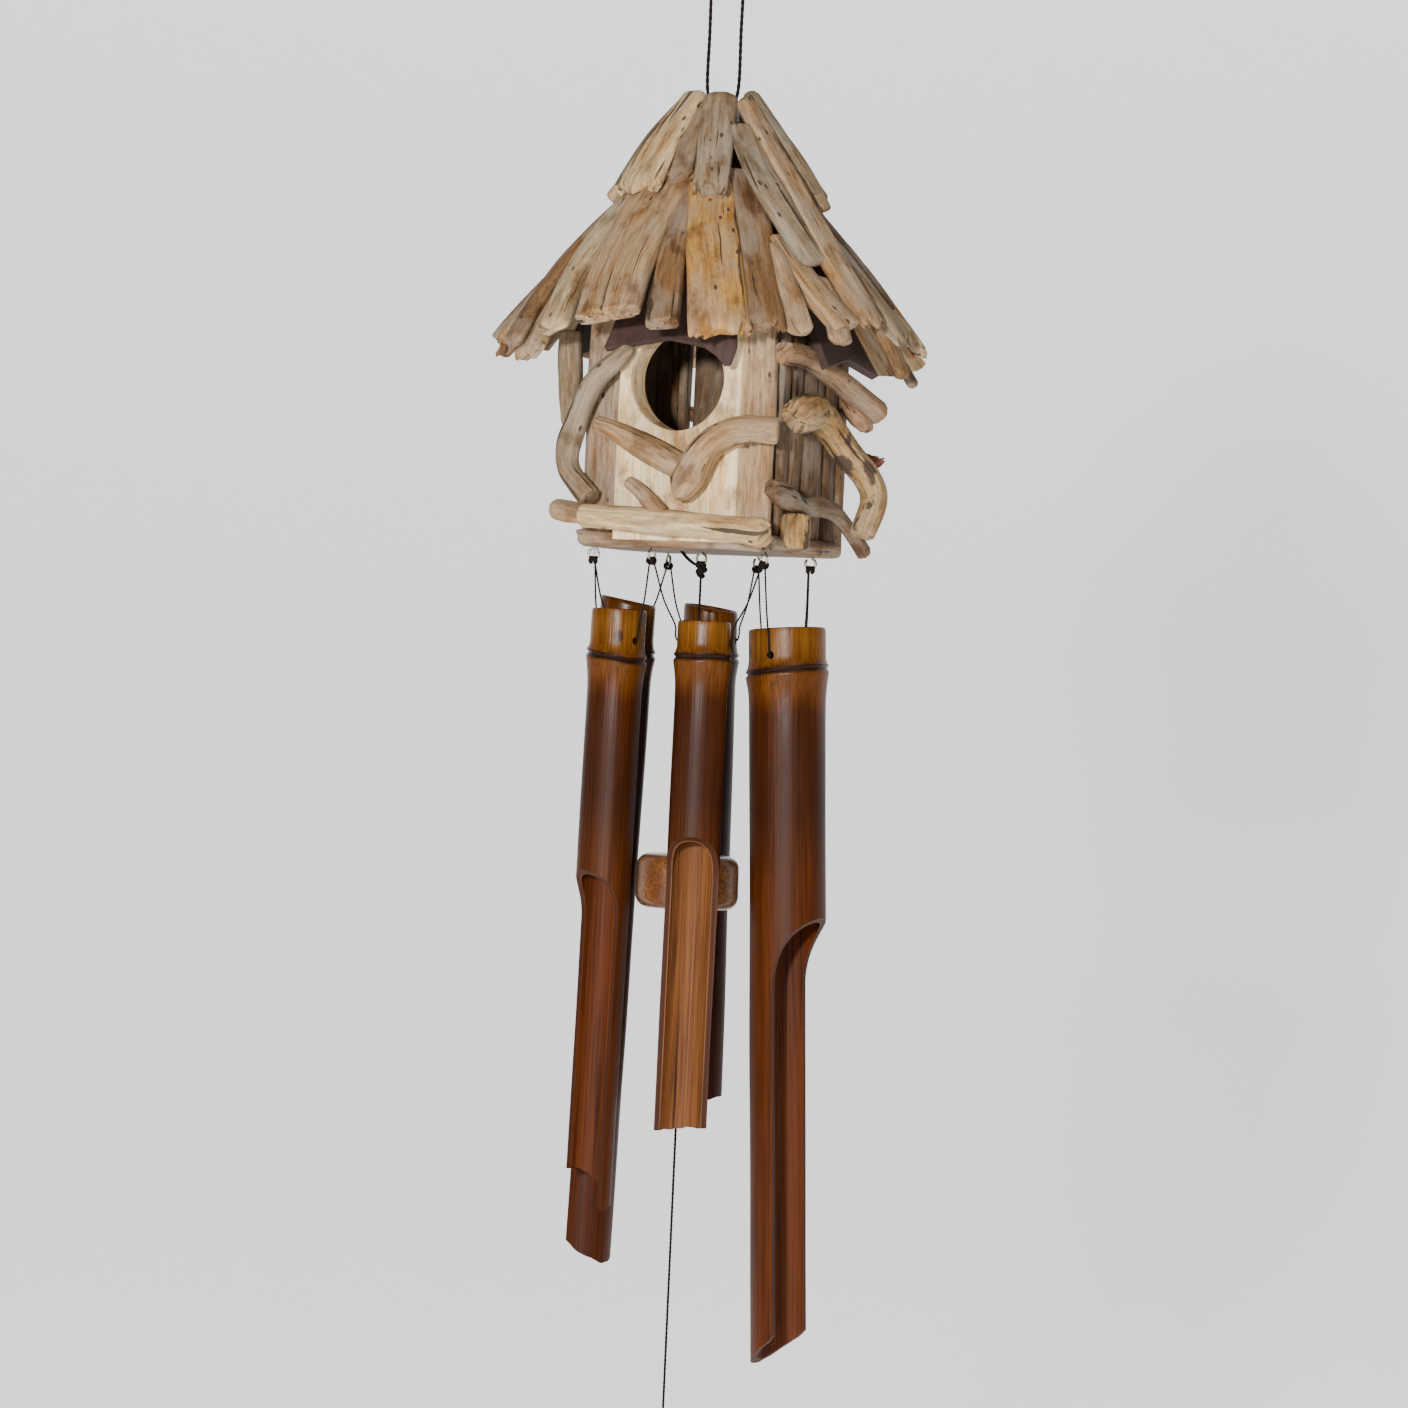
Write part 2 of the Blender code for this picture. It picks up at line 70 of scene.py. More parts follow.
# First eye, second eye, radius, depths of the top, node, scoop and end, all in mm, then the lean
# in degrees and the slopes of the lower end
PIPES = {
    "front_left": ("front_left", "front", 13.5, 330, 353, 456, 616, 1.2, -0.8, 0.0),
    "front_middle": ("front", "front_right", 13.0, 334.5, 352, 437, 584, 1.2, 0.1, 0.0),
    "right": ("front_right", "back_right", 19.0, 336, 357, 474, 684.5, 3.0, 0.0, 0.8),
    "back_right": ("back_right", "back", 14.0, 338, 358, 470, 632, 3.0, 0.2, 0.0),
    "back_middle": ("back", "back_left", 13.7, 327, 350, 440, 576, 3.0, -0.1, 0.0),
    "back_left": ("back_left", "front_left", 14.0, 327, 350, 460, 648, 1.8, 0.0, 0.7),
}

# Slopes of the node's ring along the pipe's width and depth, slopes and lift in mm of its rim,
# and where a bud's scar sits round it, in degrees
RINGS = {
    "front_left": (0.15, 0.02, 0.0, 0.0, 0.0, 140),
    "front_middle": (-0.02, 0.0, 0.0, 0.0, 0.0, -60),
    "right": (0.0, 0.10, 0.0, 0.03, 0.0, -45),
    "back_right": (0.05, 0.05, 0.0, 0.0, 0.0, 30),
    "back_middle": (-0.08, 0.0, -0.145, 0.0, 1.0, 200),
    "back_left": (-0.05, 0.06, -0.09, 0.12, 2.5, 10),
}


def down(depth):
    """The height of a place this far under the hanging cord's top."""
    return LOOP_TOP - depth


def up(height):
    return Vector((0, 0, height))


def spots(*points):
    """Places in mm: across, deep, and down from the hanging cord's top."""
    return [Vector((x * MM, y * MM, down(d * MM))) for x, y, d in points]


def box(node):
    return (Vector(corner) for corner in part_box(node))


def smooth_route(points, spacing):
    """Points about this far apart on a smooth curve through the given ones."""
    route = [Vector(p) for p in points]
    ends = [2 * route[0] - route[1], *route, 2 * route[-1] - route[-2]]
    fine = []
    for a, b, c, d in zip(ends, ends[1:], ends[2:], ends[3:]):
        steps = max(1, round((c - b).length / spacing))
        for i in range(steps):
            t = i / steps
            fine.append(
                0.5 * (2 * b + (c - a) * t + (2 * a - 5 * b + 4 * c - d) * t * t
                       + (3 * b - a - 3 * c + d) * t ** 3)
            )
    fine.append(route[-1])
    return fine


def route_length(points):
    return sum((b - a).length for a, b in zip(points, points[1:]))


def around(count):
    """Evenly spaced angles once round."""
    return [2 * pi * i / count for i in range(count)]


def frames_along(route, start=None):
    """(point, side, other, along) at each point, turning as little as possible."""
    last = len(route) - 1
    side = start
    found = []
    for i, point in enumerate(route):
        along = (route[min(i + 1, last)] - route[max(i - 1, 0)]).normalized()
        if side is None:
            side = along.orthogonal()
        side = (side - along * side.dot(along)).normalized()
        found.append((point, side, along.cross(side), along))
    return found


def value_at(values, place):
    """The value at a place from 0 to 1 along evenly spaced ones."""
    spot = min(max(place, 0.0), 1.0) * (len(values) - 1)
    low = min(int(spot), len(values) - 2) if len(values) > 1 else 0
    high = min(low + 1, len(values) - 1)
    return values[low] + (values[high] - values[low]) * (spot - low)


def linked(name, data):
    made = bpy.data.objects.new(name, data)
    bpy.context.scene.collection.objects.link(made)
    return made


# Meshes


def mesh_object(name, points, faces, finish):
    data = bpy.data.meshes.new(name)
    data.from_pydata([tuple(p) for p in points], [], faces)
    data.validate()
    data.materials.append(finish)
    data.shade_smooth()
    return linked(name, data)


def rows_to_mesh(name, rows, finish, capped=True):
    """A skin over rows of equally many points: closed at each end by strips from side to
    side, or joined from the last row to the first."""
    count = len(rows[0])
    points = [p for row in rows for p in row]
    faces = []
    pairs = len(rows) - 1 if capped else len(rows)
    for r in range(pairs):
        here, after = r * count, (r + 1) % len(rows) * count
        for i in range(count):
            j = (i + 1) % count
            faces.append((here + i, after + i, after + j, here + j))
    if capped:
        for start in (0, (len(rows) - 1) * count):
            for i in range(count // 2):
                strip = (i, i + 1, (count - i - 1) % count, (count - i) % count)
                faces.append([start + k for k in dict.fromkeys(strip)])
    made = mesh_object(name, points, faces, finish)
    fix_normals(made)
    return made


def fix_normals(made):
    """Turns the faces outward."""
    shape = bmesh.new()
    shape.from_mesh(made.data)
    bmesh.ops.recalc_face_normals(shape, faces=shape.faces)
    shape.to_mesh(made.data)
    shape.free()


def paint(made, grain, tone):
    """Stores each point's place along and across the grain, and the piece's own tone."""
    count = len(made.data.vertices)
    store = made.data.attributes.new("grain", "FLOAT_VECTOR", "POINT")
    store.data.foreach_set("vector", [c for p in grain for c in p])
    store = made.data.attributes.new("tone", "FLOAT_COLOR", "POINT")
    store.data.foreach_set("color", [*tone, 1.0] * count)


def settle(made, body, nodes=()):
    """Rides the piece on its body and hides the nodes that it stands for."""
    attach(made, body)
    if nodes:
        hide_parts(*nodes)
    return made


# Camera, first


def camera():
    """Level with the pipes' tops, turned to the house's right and rolled as the photo is."""
    distance, view_width, roll_angle = 2.5, 0.704, radians(2.6)
    data = bpy.data.cameras.new("camera")
    data.sensor_width = 36
    data.lens = 36 * distance / view_width
    data.clip_end = 30
    made = linked("camera", data)
    aim = SCREEN_RIGHT * 4.5 * MM + up(down(375 * MM))
    made.location = aim + TO_CAMERA * distance
    made.rotation_mode = "QUATERNION"
    roll = Quaternion((0, 0, 1), roll_angle)
    made.rotation_quaternion = (-TO_CAMERA).to_track_quat("-Z", "Y") @ roll
    bpy.context.scene.camera = made


# Shader building


def add(tree, kind, sockets=None, **settings):
    """A node with its settings and sockets: a socket's value is another socket or a constant."""
    made = tree.nodes.new("ShaderNode" + kind)
    for key, value in settings.items():
        setattr(made, key, value)
    for key, value in (sockets or {}).items():
        if isinstance(value, bpy.types.NodeSocket):
            tree.links.new(value, made.inputs[key])
        else:
            made.inputs[key].default_value = value
    return made


def begin(name, roughness, **constants):
    """A material, its tree and its shader, with the shader's constants set."""
    made = bpy.data.materials.new(name)
    made.use_nodes = True
    shader = made.node_tree.nodes["Principled BSDF"]
    shader.inputs["Roughness"].default_value = roughness
    for key, value in constants.items():
        shader.inputs[key.replace("_", " ")].default_value = value
    return made, made.node_tree, shader


def mixed(tree, factor, first, second, mode="MIX"):
    """Two colours mixed, where a colour is a socket or three numbers."""
    made = add(tree, "Mix", data_type="RGBA", blend_type=mode)
    for spot, value in ((0, factor), (6, first), (7, second)):
        if isinstance(value, bpy.types.NodeSocket):
            tree.links.new(value, made.inputs[spot])
        elif spot:
            made.inputs[spot].default_value = (*value, 1.0)
        else:
            made.inputs[spot].default_value = value
    return made.outputs[2]


def ramp(tree, factor, stops):
    """A ramp through (place, value) stops, a value being a grey or a colour."""
    made = add(tree, "ValToRGB", {"Fac": factor})
    band = made.color_ramp
    while len(band.elements) < len(stops):
        band.elements.new(0.5)
    for element, (place, value) in zip(band.elements, stops):
        element.position = place
        colour = (value,) * 3 if isinstance(value, (int, float)) else value
        element.color = (*colour, 1.0)
    return made.outputs["Color"]


def times(tree, first, second):
    return mixed(tree, 1.0, first, second, "MULTIPLY")


def blend(tree, factor, start, end, first, second):
    """Two colours mixed by a factor that a ramp of two stops sharpens."""
    return mixed(tree, ramp(tree, factor, (start, end)), first, second)


def stretched(tree, vector, scale):
    return add(tree, "Mapping", {"Vector": vector, "Scale": scale}).outputs["Vector"]


def speckle(tree, vector, scale, detail, roughness):
    made = add(tree, "TexNoise", {"Vector": stretched(tree, vector, scale), "Scale": 1.0,
                                  "Detail": detail, "Roughness": roughness})
    return made.outputs["Fac"]


def remap(tree, value, low, high, first=0.0, last=1.0):
    """The value stretched from between low and high to between first and last."""
    made = add(tree, "MapRange", {"Value": value, "From Min": low, "From Max": high,
                                  "To Min": first, "To Max": last})
    return made.outputs["Result"]


def own_space(tree):
    return add(tree, "TexCoord").outputs["Object"]


def dress(tree, shader, colour, height, relief):
    """Gives the shader its colour, and its small relief from a height."""
    made = add(tree, "Bump", {"Height": height, "Distance": relief, "Strength": 1.0})
    tree.links.new(made.outputs["Normal"], shader.inputs["Normal"])
    tree.links.new(colour, shader.inputs["Base Color"])


def wood_shader(name, fibres, contrast, pits, roughness=0.82, relief=0.5 * MM, grey=0.5,
                bark=0.0, split=1.0):
    """Weathered wood: fibres, cracks, worm holes, stains and bark, over the piece's tone."""
    made, tree, shader = begin(name, roughness, Specular_IOR_Level=0.25)
    grain = add(tree, "Attribute", attribute_name="grain").outputs["Vector"]
    tone = add(tree, "Attribute", attribute_name="tone").outputs["Color"]
    bend = add(tree, "TexNoise",
               {"Vector": stretched(tree, grain, (70, 70, 45)), "Scale": 1.0, "Detail": 2.0})
    pushed = add(tree, "VectorMath",
                 {0: bend.outputs["Color"], 1: (2.4 * MM, 2.4 * MM, 0.0), 2: grain},
                 operation="MULTIPLY_ADD").outputs["Vector"]
    streaks = speckle(tree, pushed, (fibres, fibres, fibres * 0.075), 8, 0.72)
    broad = speckle(tree, pushed, (190, 190, 26), 4, 0.6)
    stains = speckle(tree, grain, (75, 75, 48), 4, 0.62)
    faded = speckle(tree, grain, (52, 52, 30), 3, 0.55)
    grit = speckle(tree, grain, (1500, 1500, 700), 3, 0.7)
    dark = times(tree, tone, (1 - contrast, 1 - contrast * 1.1, 1 - contrast * 1.25))
    light = times(tree, tone, (1.28, 1.25, 1.2))
    colour = blend(tree, streaks, (0.36, 0.0), (0.62, 1.0), dark, light)
    warm = times(tree, colour, (0.80, 0.62, 0.42))
    colour = blend(tree, broad, (0.46, 0.0), (0.62, 0.8), colour, warm)
    pale = mixed(tree, 0.55, colour, (0.37, 0.335, 0.275))
    colour = blend(tree, faded, (0.46, 0.0), (0.62, grey), colour, pale)
    stained = times(tree, colour, (0.46, 0.36, 0.27))
    colour = blend(tree, stains, (0.52, 0.0), (0.66, 0.85), colour, stained)
    colour = blend(tree, grit, (0.32, 0.55), (0.45, 0.0), colour, stained)
    crust = ramp(tree, stains, ((0.40, bark), (0.46, 0.0)))
    colour = mixed(tree, crust, colour, (0.035, 0.024, 0.017))
    cracks = speckle(tree, pushed, (300, 300, 12), 4, 0.55)
    crack = ramp(tree, cracks, ((0.0, split), (0.345, 0.9 * split), (0.375, 0.0)))
    colour = mixed(tree, crack, colour, (0.030, 0.018, 0.011))
    holes = add(tree, "TexVoronoi",
                {"Vector": stretched(tree, grain, (115, 115, 62)), "Scale": 1.0})
    hole = ramp(tree, holes.outputs["Distance"], ((0.0, pits), (0.075, pits), (0.125, 0.0)))
    colour = mixed(tree, hole, colour, (0.045, 0.024, 0.015))
    height = mixed(tree, 0.4, streaks, broad)
    height = mixed(tree, crust, height, (0.75, 0.75, 0.75))
    height = mixed(tree, crack, height, (0.0, 0.0, 0.0))
    height = mixed(tree, hole, height, (0.0, 0.0, 0.0))
    dress(tree, shader, colour, height, relief)
    rough = remap(tree, streaks, 0.0, 1.0, roughness - 0.1, roughness + 0.1)
    tree.links.new(rough, shader.inputs["Roughness"])
    return made


def bamboo_shader(name, radius, slope_x, slope_y, scar, flesh_tone, painted_shade_tone):
    """Lacquered bamboo in the pipe's own space: its node is at the origin."""
    made, tree, shader = begin(name, 0.24, IOR=1.36, Specular_IOR_Level=0.22)
    place = own_space(tree)
    parts = add(tree, "SeparateXYZ", {"Vector": place})
    fibres = speckle(tree, place, (1100, 1100, 16), 5, 0.6)
    clouds = speckle(tree, place, (90, 90, 14), 3, 0.55)
    shift = add(tree, "Math", {0: clouds, 1: 14 * MM, 2: -7 * MM}, operation="MULTIPLY_ADD")
    height = add(tree, "Math", {0: parts.outputs["Z"], 1: shift.outputs[0]}, operation="ADD")
    low, high = -0.36, 0.03

    def at(level):
        return (level - low) / (high - low)

    spot = remap(tree, height.outputs[0], low, high)
    bands = ramp(tree, spot, (
        (0.0, (0.070, 0.0145, 0.0003)), (at(-0.105), (0.062, 0.0150, 0.0012)),
        (at(-0.07), (0.036, 0.0085, 0.0010)), (at(-0.022), (0.044, 0.0105, 0.0012)),
        (at(-0.011), (0.095, 0.029, 0.0030)), (at(0.004), (0.105, 0.037, 0.0042)),
        (at(0.016), (0.140, 0.056, 0.0085)), (1.0, (0.090, 0.031, 0.0035)),
    ))
    wave = speckle(tree, place, (120, 120, 0), 2, 0.5)
    level = add(tree, "VectorMath", {0: place, 1: (-slope_x, -slope_y, 1.0)},
                operation="DOT_PRODUCT")
    wavy = add(tree, "Math", {0: wave, 1: 2.4 * MM, 2: level.outputs["Value"]},
               operation="MULTIPLY_ADD")
    exact = remap(tree, wavy.outputs[0], -6.8 * MM, 9.2 * MM)
    ring = ramp(tree, exact,
                ((0.0, 0.0), (0.34, 0.1), (0.41, 0.95), (0.56, 0.95), (0.61, 0.2), (0.70, 0.0)))
    dark = times(tree, bands, (0.55, 0.48, 0.45))
    bright = times(tree, bands, (1.35, 1.3, 1.2))
    skin = blend(tree, fibres, (0.34, 0.0), (0.66, 1.0), dark, bright)
    skin = blend(tree, clouds, (0.36, 0.55), (0.58, 0.0), skin, dark)
    # Painted shade: this tone darkens the back pipes' skin, and leaves the front pipes' skin as it
    # is.
    skin = times(tree, skin, painted_shade_tone)
    skin = mixed(tree, ring, skin, (0.014, 0.005, 0.003))
    turn = radians(scar)
    off = add(tree, "VectorMath", {0: place, 1: (radius * cos(turn), radius * sin(turn), 9 * MM)},
              operation="SUBTRACT")
    away = add(tree, "VectorMath",
               {0: stretched(tree, off.outputs["Vector"], (150, 150, 105))}, operation="LENGTH")
    ragged = add(tree, "Math", {0: clouds, 1: 0.9, 2: away.outputs["Value"]},
                 operation="MULTIPLY_ADD")
    burnt = ramp(tree, ragged.outputs[0], ((0.0, 0.95), (0.80, 0.9), (0.95, 0.0)))
    skin = mixed(tree, burnt, skin, (0.030, 0.008, 0.004))
    across = add(tree, "CombineXYZ", {"X": parts.outputs["X"], "Y": parts.outputs["Y"]})
    reach = add(tree, "VectorMath", {0: across.outputs["Vector"]}, operation="LENGTH")
    reach = reach.outputs["Value"]
    inside = remap(tree, reach, radius - 0.25 * MM, radius - 0.75 * MM)
    flesh_dark = blend(tree, clouds, (0.38, 0.0), (0.62, 1.0),
                       (0.018, 0.0040, 0.0010), (0.085, 0.0235, 0.0024))
    flesh = blend(tree, fibres, (0.32, 0.0), (0.68, 1.0), flesh_dark, (0.150, 0.045, 0.0050))
    flesh = times(tree, flesh, flesh_tone)
    bore = radius - BAMBOO_WALL
    edge = remap(tree, reach, bore + 0.3 * MM, bore + 0.7 * MM)
    # The wall's cut faces, at the top and at the scoop, are painted dark: partly their own colour,
    # partly painted shade.
    rim = mixed(tree, fibres, (0.018, 0.0045, 0.0016), (0.055, 0.0140, 0.0030))
    flesh = mixed(tree, edge, flesh, rim)
    colour = mixed(tree, inside, skin, flesh)
    gloss = ramp(tree, spot,
                 ((0.0, 0.46), (at(-0.045), 0.44), (at(-0.012), 0.26), (1.0, 0.16)))
    worn = blend(tree, fibres, (0.3, 0.0), (0.7, 0.35), gloss, (0.62, 0.62, 0.62))
    worn = mixed(tree, inside, worn, (0.6, 0.6, 0.6))
    tree.links.new(worn, shader.inputs["Roughness"])
    dress(tree, shader, colour, fibres, 0.16 * MM)
    return made


def lacquered_shader(name, light, dark, grains):
    """Turned wood under lacquer, with dark pores."""
    made, tree, shader = begin(name, 0.38, Coat_Weight=0.35, Coat_Roughness=0.2)
    place = own_space(tree)
    pores = speckle(tree, place, grains, 4, 0.7)
    clouds = speckle(tree, place, (45, 45, 45), 3, 0.5)
    colour = blend(tree, pores, (0.38, 0.0), (0.56, 1.0), dark, light)
    colour = blend(tree, clouds, (0.40, 0.6), (0.62, 0.0), colour, dark)
    dress(tree, shader, colour, pores, 0.25 * MM)
    return made


def twine_shader(name):
    made, tree, shader = begin(name, 0.8, Specular_IOR_Level=0.1)
    place = own_space(tree)
    fuzz = speckle(tree, place, (3200, 3200, 1400), 3, 0.6)
    colour = blend(tree, fuzz, (0.35, 0.0), (0.70, 1.0),
                   (0.003, 0.002, 0.002), (0.020, 0.012, 0.009))
    dress(tree, shader, colour, fuzz, 0.12 * MM)
    return made


def steel_shader(name):
    made, tree, shader = begin(name, 0.25, Metallic=1.0)
    place = own_space(tree)
    stains = speckle(tree, place, (700, 700, 700), 4, 0.6)
    colour = blend(tree, stains, (0.36, 0.0), (0.62, 1.0), (0.16, 0.12, 0.07), (0.52, 0.48, 0.38))
    rough = remap(tree, stains, 0.0, 1.0, 0.5, 0.18)
    tree.links.new(rough, shader.inputs["Roughness"])
    dress(tree, shader, colour, stains, 0.05 * MM)
    return made


def glue_shader(name):
    made, tree, shader = begin(name, 0.3, Subsurface_Weight=0.4, Subsurface_Scale=1.0)
    place = own_space(tree)
    clouds = speckle(tree, place, (500, 500, 500), 3, 0.5)
    colour = mixed(tree, clouds, (0.62, 0.62, 0.66), (0.85, 0.86, 0.90))
    dress(tree, shader, colour, clouds, 0.2 * MM)
    return made


# Cords, straight after the camera


def twisted(name, points, radius, finish, nodes, body, pitch):
    """A two-ply cord along a route, riding on its body."""
    route = smooth_route(points, 0.9 * radius)
    rows, run, before = [], 0.0, route[0]
    for point, side, other, _ in frames_along(route):
        run += (point - before).length
        before = point
        turn = 2 * pi * run / pitch
        row = []
        for angle in around(10):
            reach = radius * (0.88 + 0.12 * cos(2 * (angle - turn)))
            row.append(point + side * reach * cos(angle) + other * reach * sin(angle))
        rows.append(row)
    made = rows_to_mesh(name, rows, finish)
    settle(made, body, nodes)
    return made


def hanging_cord(finish):
    """The doubled cord: the same points up one side and down the other."""
    side = spots((2.2, 0, 93.4), (5.4, 0, 80), (8.6, 0, 66), (8.6, 0, 40), (8.6, 0, 14),
                 (6.4, 0, 5.5), (3.2, 0, 1.9))
    route = [(-x, y, z) for x, y, z in side] + spots((0, 0, 1)) + side[::-1]
    twisted("hanging_cord_twine", route, 1.0 * MM, finish, ("hanging_cord",), "cord",
            7 * MM)


def pipe_frame(first, second, lean):
    """Local X from the second eye to the first, Y away from the axis, Z up the pipe."""
    a = Vector((*EYES[first], 0))
    b = Vector((*EYES[second], 0))
    along = (a - b).normalized()
    outward = up(1).cross(along)
    middle = (a + b) / 2 + up(down(HANG_DEPTH))
    place = Matrix((along, outward, up(1))).transposed().to_4x4()
    tilt = Matrix.Rotation(radians(lean), 4, "X")
    return Matrix.Translation(middle) @ place @ tilt, (b - a).length / 2


def slings(finish):
    """Each pipe's cord: from an eye through the pipe's two holes and up to the next eye."""
    for name, (first, second, size, _, node, _, _, lean, _, _) in PIPES.items():
        place, half_span = pipe_frame(first, second, lean)
        radius = size * MM
        hole = HANG_DEPTH - node * MM + CORD_HOLE_RISE
        reach = half_span - SLING_END
        edge = radius + 1.3 * MM
        bend = hole + 3 * MM
        middle = ((reach + edge) / 2 + 0.6 * MM, 0, bend / 2)
        side = [(reach, 0, 0), middle, (edge + 0.5 * MM, 0, bend + 5 * MM), (edge, 0, bend),
                (radius + 0.3 * MM, 0, hole + 0.4 * MM), (radius - 2.6 * MM, 0, hole - 0.3 * MM),
                (radius * 0.45, 0, hole - 0.7 * MM)]
        route = [(-x, y, z) for x, y, z in side] + [(0, 0, hole - 0.9 * MM)] + side[::-1]
        twisted("pipe_cord_" + name, [place @ Vector(p) for p in route], SLING_RADIUS, finish,
                ("sling_" + name,), name + "_pipe", 3.4 * MM)


def middle_cords(finish):
    """The clapper's cord and the lower cord, between the ends of their nodes."""
    for node, body in (("clapper_cord", "clapper"), ("tail_cord", "tail")):
        low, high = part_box(node)
        points = [(0, 0, high[2] + (low[2] - high[2]) * i / 6) for i in range(7)]
        twisted(node + "_twine", points, 0.7 * MM, finish, (node,), body, 4.5 * MM)


# Wood


def wood(name, points, widths, thicks, finish, tone, seed, normal=None, power=2.6,
         ends=("round", "round"), rough=0.45 * MM, sides=36, tear=9 * MM, knots=(),
         spacing=2.6 * MM):
    """A stick or board of weathered wood along a route, with its own end shapes. A knot has
    its place from 0 to 1 along the route, its angle round it, its height and its breadth."""
    dice = random.Random(seed)
    shift = Vector([dice.uniform(-5, 5) for _ in range(3)])
    route = smooth_route(points, spacing)
    length = route_length(route)
    thin = min(widths[0], thicks[0], widths[-1], thicks[-1]) / 2
    near = [f * thin / length for f in (0.03, 0.1, 0.22, 0.4, 0.65, 0.95)]
    places = sorted({0.0, 1.0, *[i / (len(route) - 1) for i in range(len(route))],
                     *near, *[1 - f for f in near]})
    stations = [value_at(route, s) for s in places]
    rows, grain = [], []
    for s, (point, side, other, along) in zip(places, frames_along(stations, normal)):
        half_thick, half_wide = value_at(thicks, s) / 2, value_at(widths, s) / 2
        pull = [0.0] * sides
        slim, narrow = 1.0, 1.0
        for end, distance, sign in ((ends[0], s * length, 1), (ends[1], (1 - s) * length, -1)):
            reach, least, keep = {"round": (0.95, 0.15, 0.15), "cut": (0.2, 0.78, 0.8),
                                  "torn": (0.6, 0.35, 0.9)}[end]
            if distance < reach * thin:
                curve = sqrt(max(0.0, 1 - (1 - distance / (reach * thin)) ** 2))
                slim *= least + (1 - least) * curve
                narrow *= keep + (1 - keep) * curve
            if end == "torn" and distance < tear:
                fade = (1 - distance / tear) ** 1.2
                slim *= 1 - 0.3 * fade
                for i, angle in enumerate(around(sides)):
                    across = half_wide * cos(angle) / MM
                    layer = 0.35 * sin(angle)
                    spot = Vector((across * 0.26, layer, 3.7 * sign)) + shift
                    fine = Vector((across * 0.8, layer * 2, 1.3 * sign)) + shift
                    jag = 1.5 * abs(noise.noise(spot)) + 0.75 * abs(noise.noise(fine))
                    pull[i] += sign * tear * min(1.0, jag) * fade
        row = []
        run = s * length
        wander = noise.noise(Vector((run * 18, 0.3, 0.7)) + shift) * rough * 2.2
        for i, angle in enumerate(around(sides)):
            c, t = cos(angle), sin(angle)
            x = copysign(abs(c) ** (2 / power), c)
            y = copysign(abs(t) ** (2 / power), t)
            lump = noise.noise(Vector((1.3 * c, 1.3 * t, run * 34)) + shift) * 1.5
            flute = noise.noise(Vector((5.5 * c, 5.5 * t, run * 20)) + shift * 2) * 0.85
            ridge = noise.noise(Vector((15 * c, 15 * t, run * 30)) + shift * 3) * 0.4
            swell = (lump + flute + ridge) * rough
            for where, turn, height, breadth in knots:
                beside = ((angle - turn + pi) % (2 * pi) - pi) * half_wide
                away = hypot(run - where * length, beside)
                swell += height * exp(-(away / breadth) ** 2)
            across = other * (half_wide * x * narrow + c * swell)
            outward = side * (half_thick * y * slim + t * swell * slim)
            row.append(point + across + outward + other * wander + along * pull[i])
            grain.append((half_wide * x + shift.x, half_thick * y + shift.y,
                          run + pull[i] + shift.z))
        rows.append(row)
    made = rows_to_mesh(name, rows, finish)
    paint(made, grain, tone)
    return made


TAN, GREY, PALE = (0.325, 0.212, 0.112), (0.225, 0.170, 0.110), (0.50, 0.37, 0.205)
GOLD, BROWN, DARK = (0.385, 0.205, 0.052), (0.185, 0.108, 0.050), (0.115, 0.070, 0.040)
PINK = (0.30, 0.18, 0.110)

# Each shingle: name, angles in degrees of its top and lower end, then in mm their depths and
# widths, its thickness and lift, then its tone and how its lower end finishes
UPPER = (
    ("front", -66, -69, 72, 128, 17, 19, 12, 2.0, GREY, "torn"),
    ("front_left", -120, -114, 71, 127, 15, 33, 9, 0.0, PALE, "torn"),
    ("front_left_lobe", -101, -94, 80, 121, 13, 25, 9, -2.0, BROWN, "torn"),
    ("front_right", -46, -27, 88, 159, 15, 18, 7, 1.0, GREY, "round"),
    ("front_right_strip", -40, -21.5, 92, 158, 5, 7, 6, 0.0, TAN, "round"),
    ("right_long", -27, -15, 75, 190, 13, 16, 8, 3.0, TAN, "torn"),
    ("right", 10, 9, 69, 123, 15, 24, 9, 1.0, GREY, "round"),
    ("right_lower", 5, 4, 84, 128, 12, 14, 7, 0.0, TAN, "round"),
)
LOWER = (
    ("left_1", -160, -135, 124, 199, 18, 24, 9, 0.0, TAN, "torn"),
    ("left_2", -148, -124, 122, 203, 11, 12, 9, 1.5, BROWN, "round"),
    ("left_3", -136, -110, 119, 197, 13, 16, 10, 4.0, (0.42, 0.335, 0.210), "round"),
    ("left_4", -106, -95.5, 117, 190, 31, 35, 11, 2.0, TAN, "cut"),
    ("front_1", -85, -78.5, 120, 194, 13, 16, 9, 0.0, BROWN, "cut"),
    ("front_2", -69, -62, 117, 200, 23, 31, 12, 3.0, GOLD, "torn"),
    ("front_3", -49, -50.5, 111, 196, 23, 20, 9, 0.5, BROWN, "torn"),
    ("front_4", -40, -41, 150, 195, 8, 13, 9, 1.0, TAN, "round"),
    ("right_1", -38, -25, 145, 190, 14, 18, 9, 1.5, TAN, "cut"),
    ("right_2", -24, -28, 165, 198, 12, 13, 8, -3.0, TAN, "round"),
    ("right_3", 15, 17, 120, 177, 17, 19, 9, 2.5, DARK, "torn"),
    ("right_4", -7, 2, 122, 196, 16, 18, 9, 0.5, GREY, "torn"),
    ("right_5", 20, 20, 168, 199, 13, 15, 7, 0.0, PALE, "torn"),
    ("right_6", 1, -4, 172, 211, 13, 10, 7, -11.0, BROWN, "round"),
    ("right_7", 9, 9, 170, 214, 12, 10, 6, -17.0, DARK, "round"),
    ("left_stub", -130, -124, 178, 211, 17, 21, 10, -13.0, TAN, "torn"),
    ("left_stub_2", -143, -140, 178, 209, 15, 16, 8, -9.0, BROWN, "torn"),
)


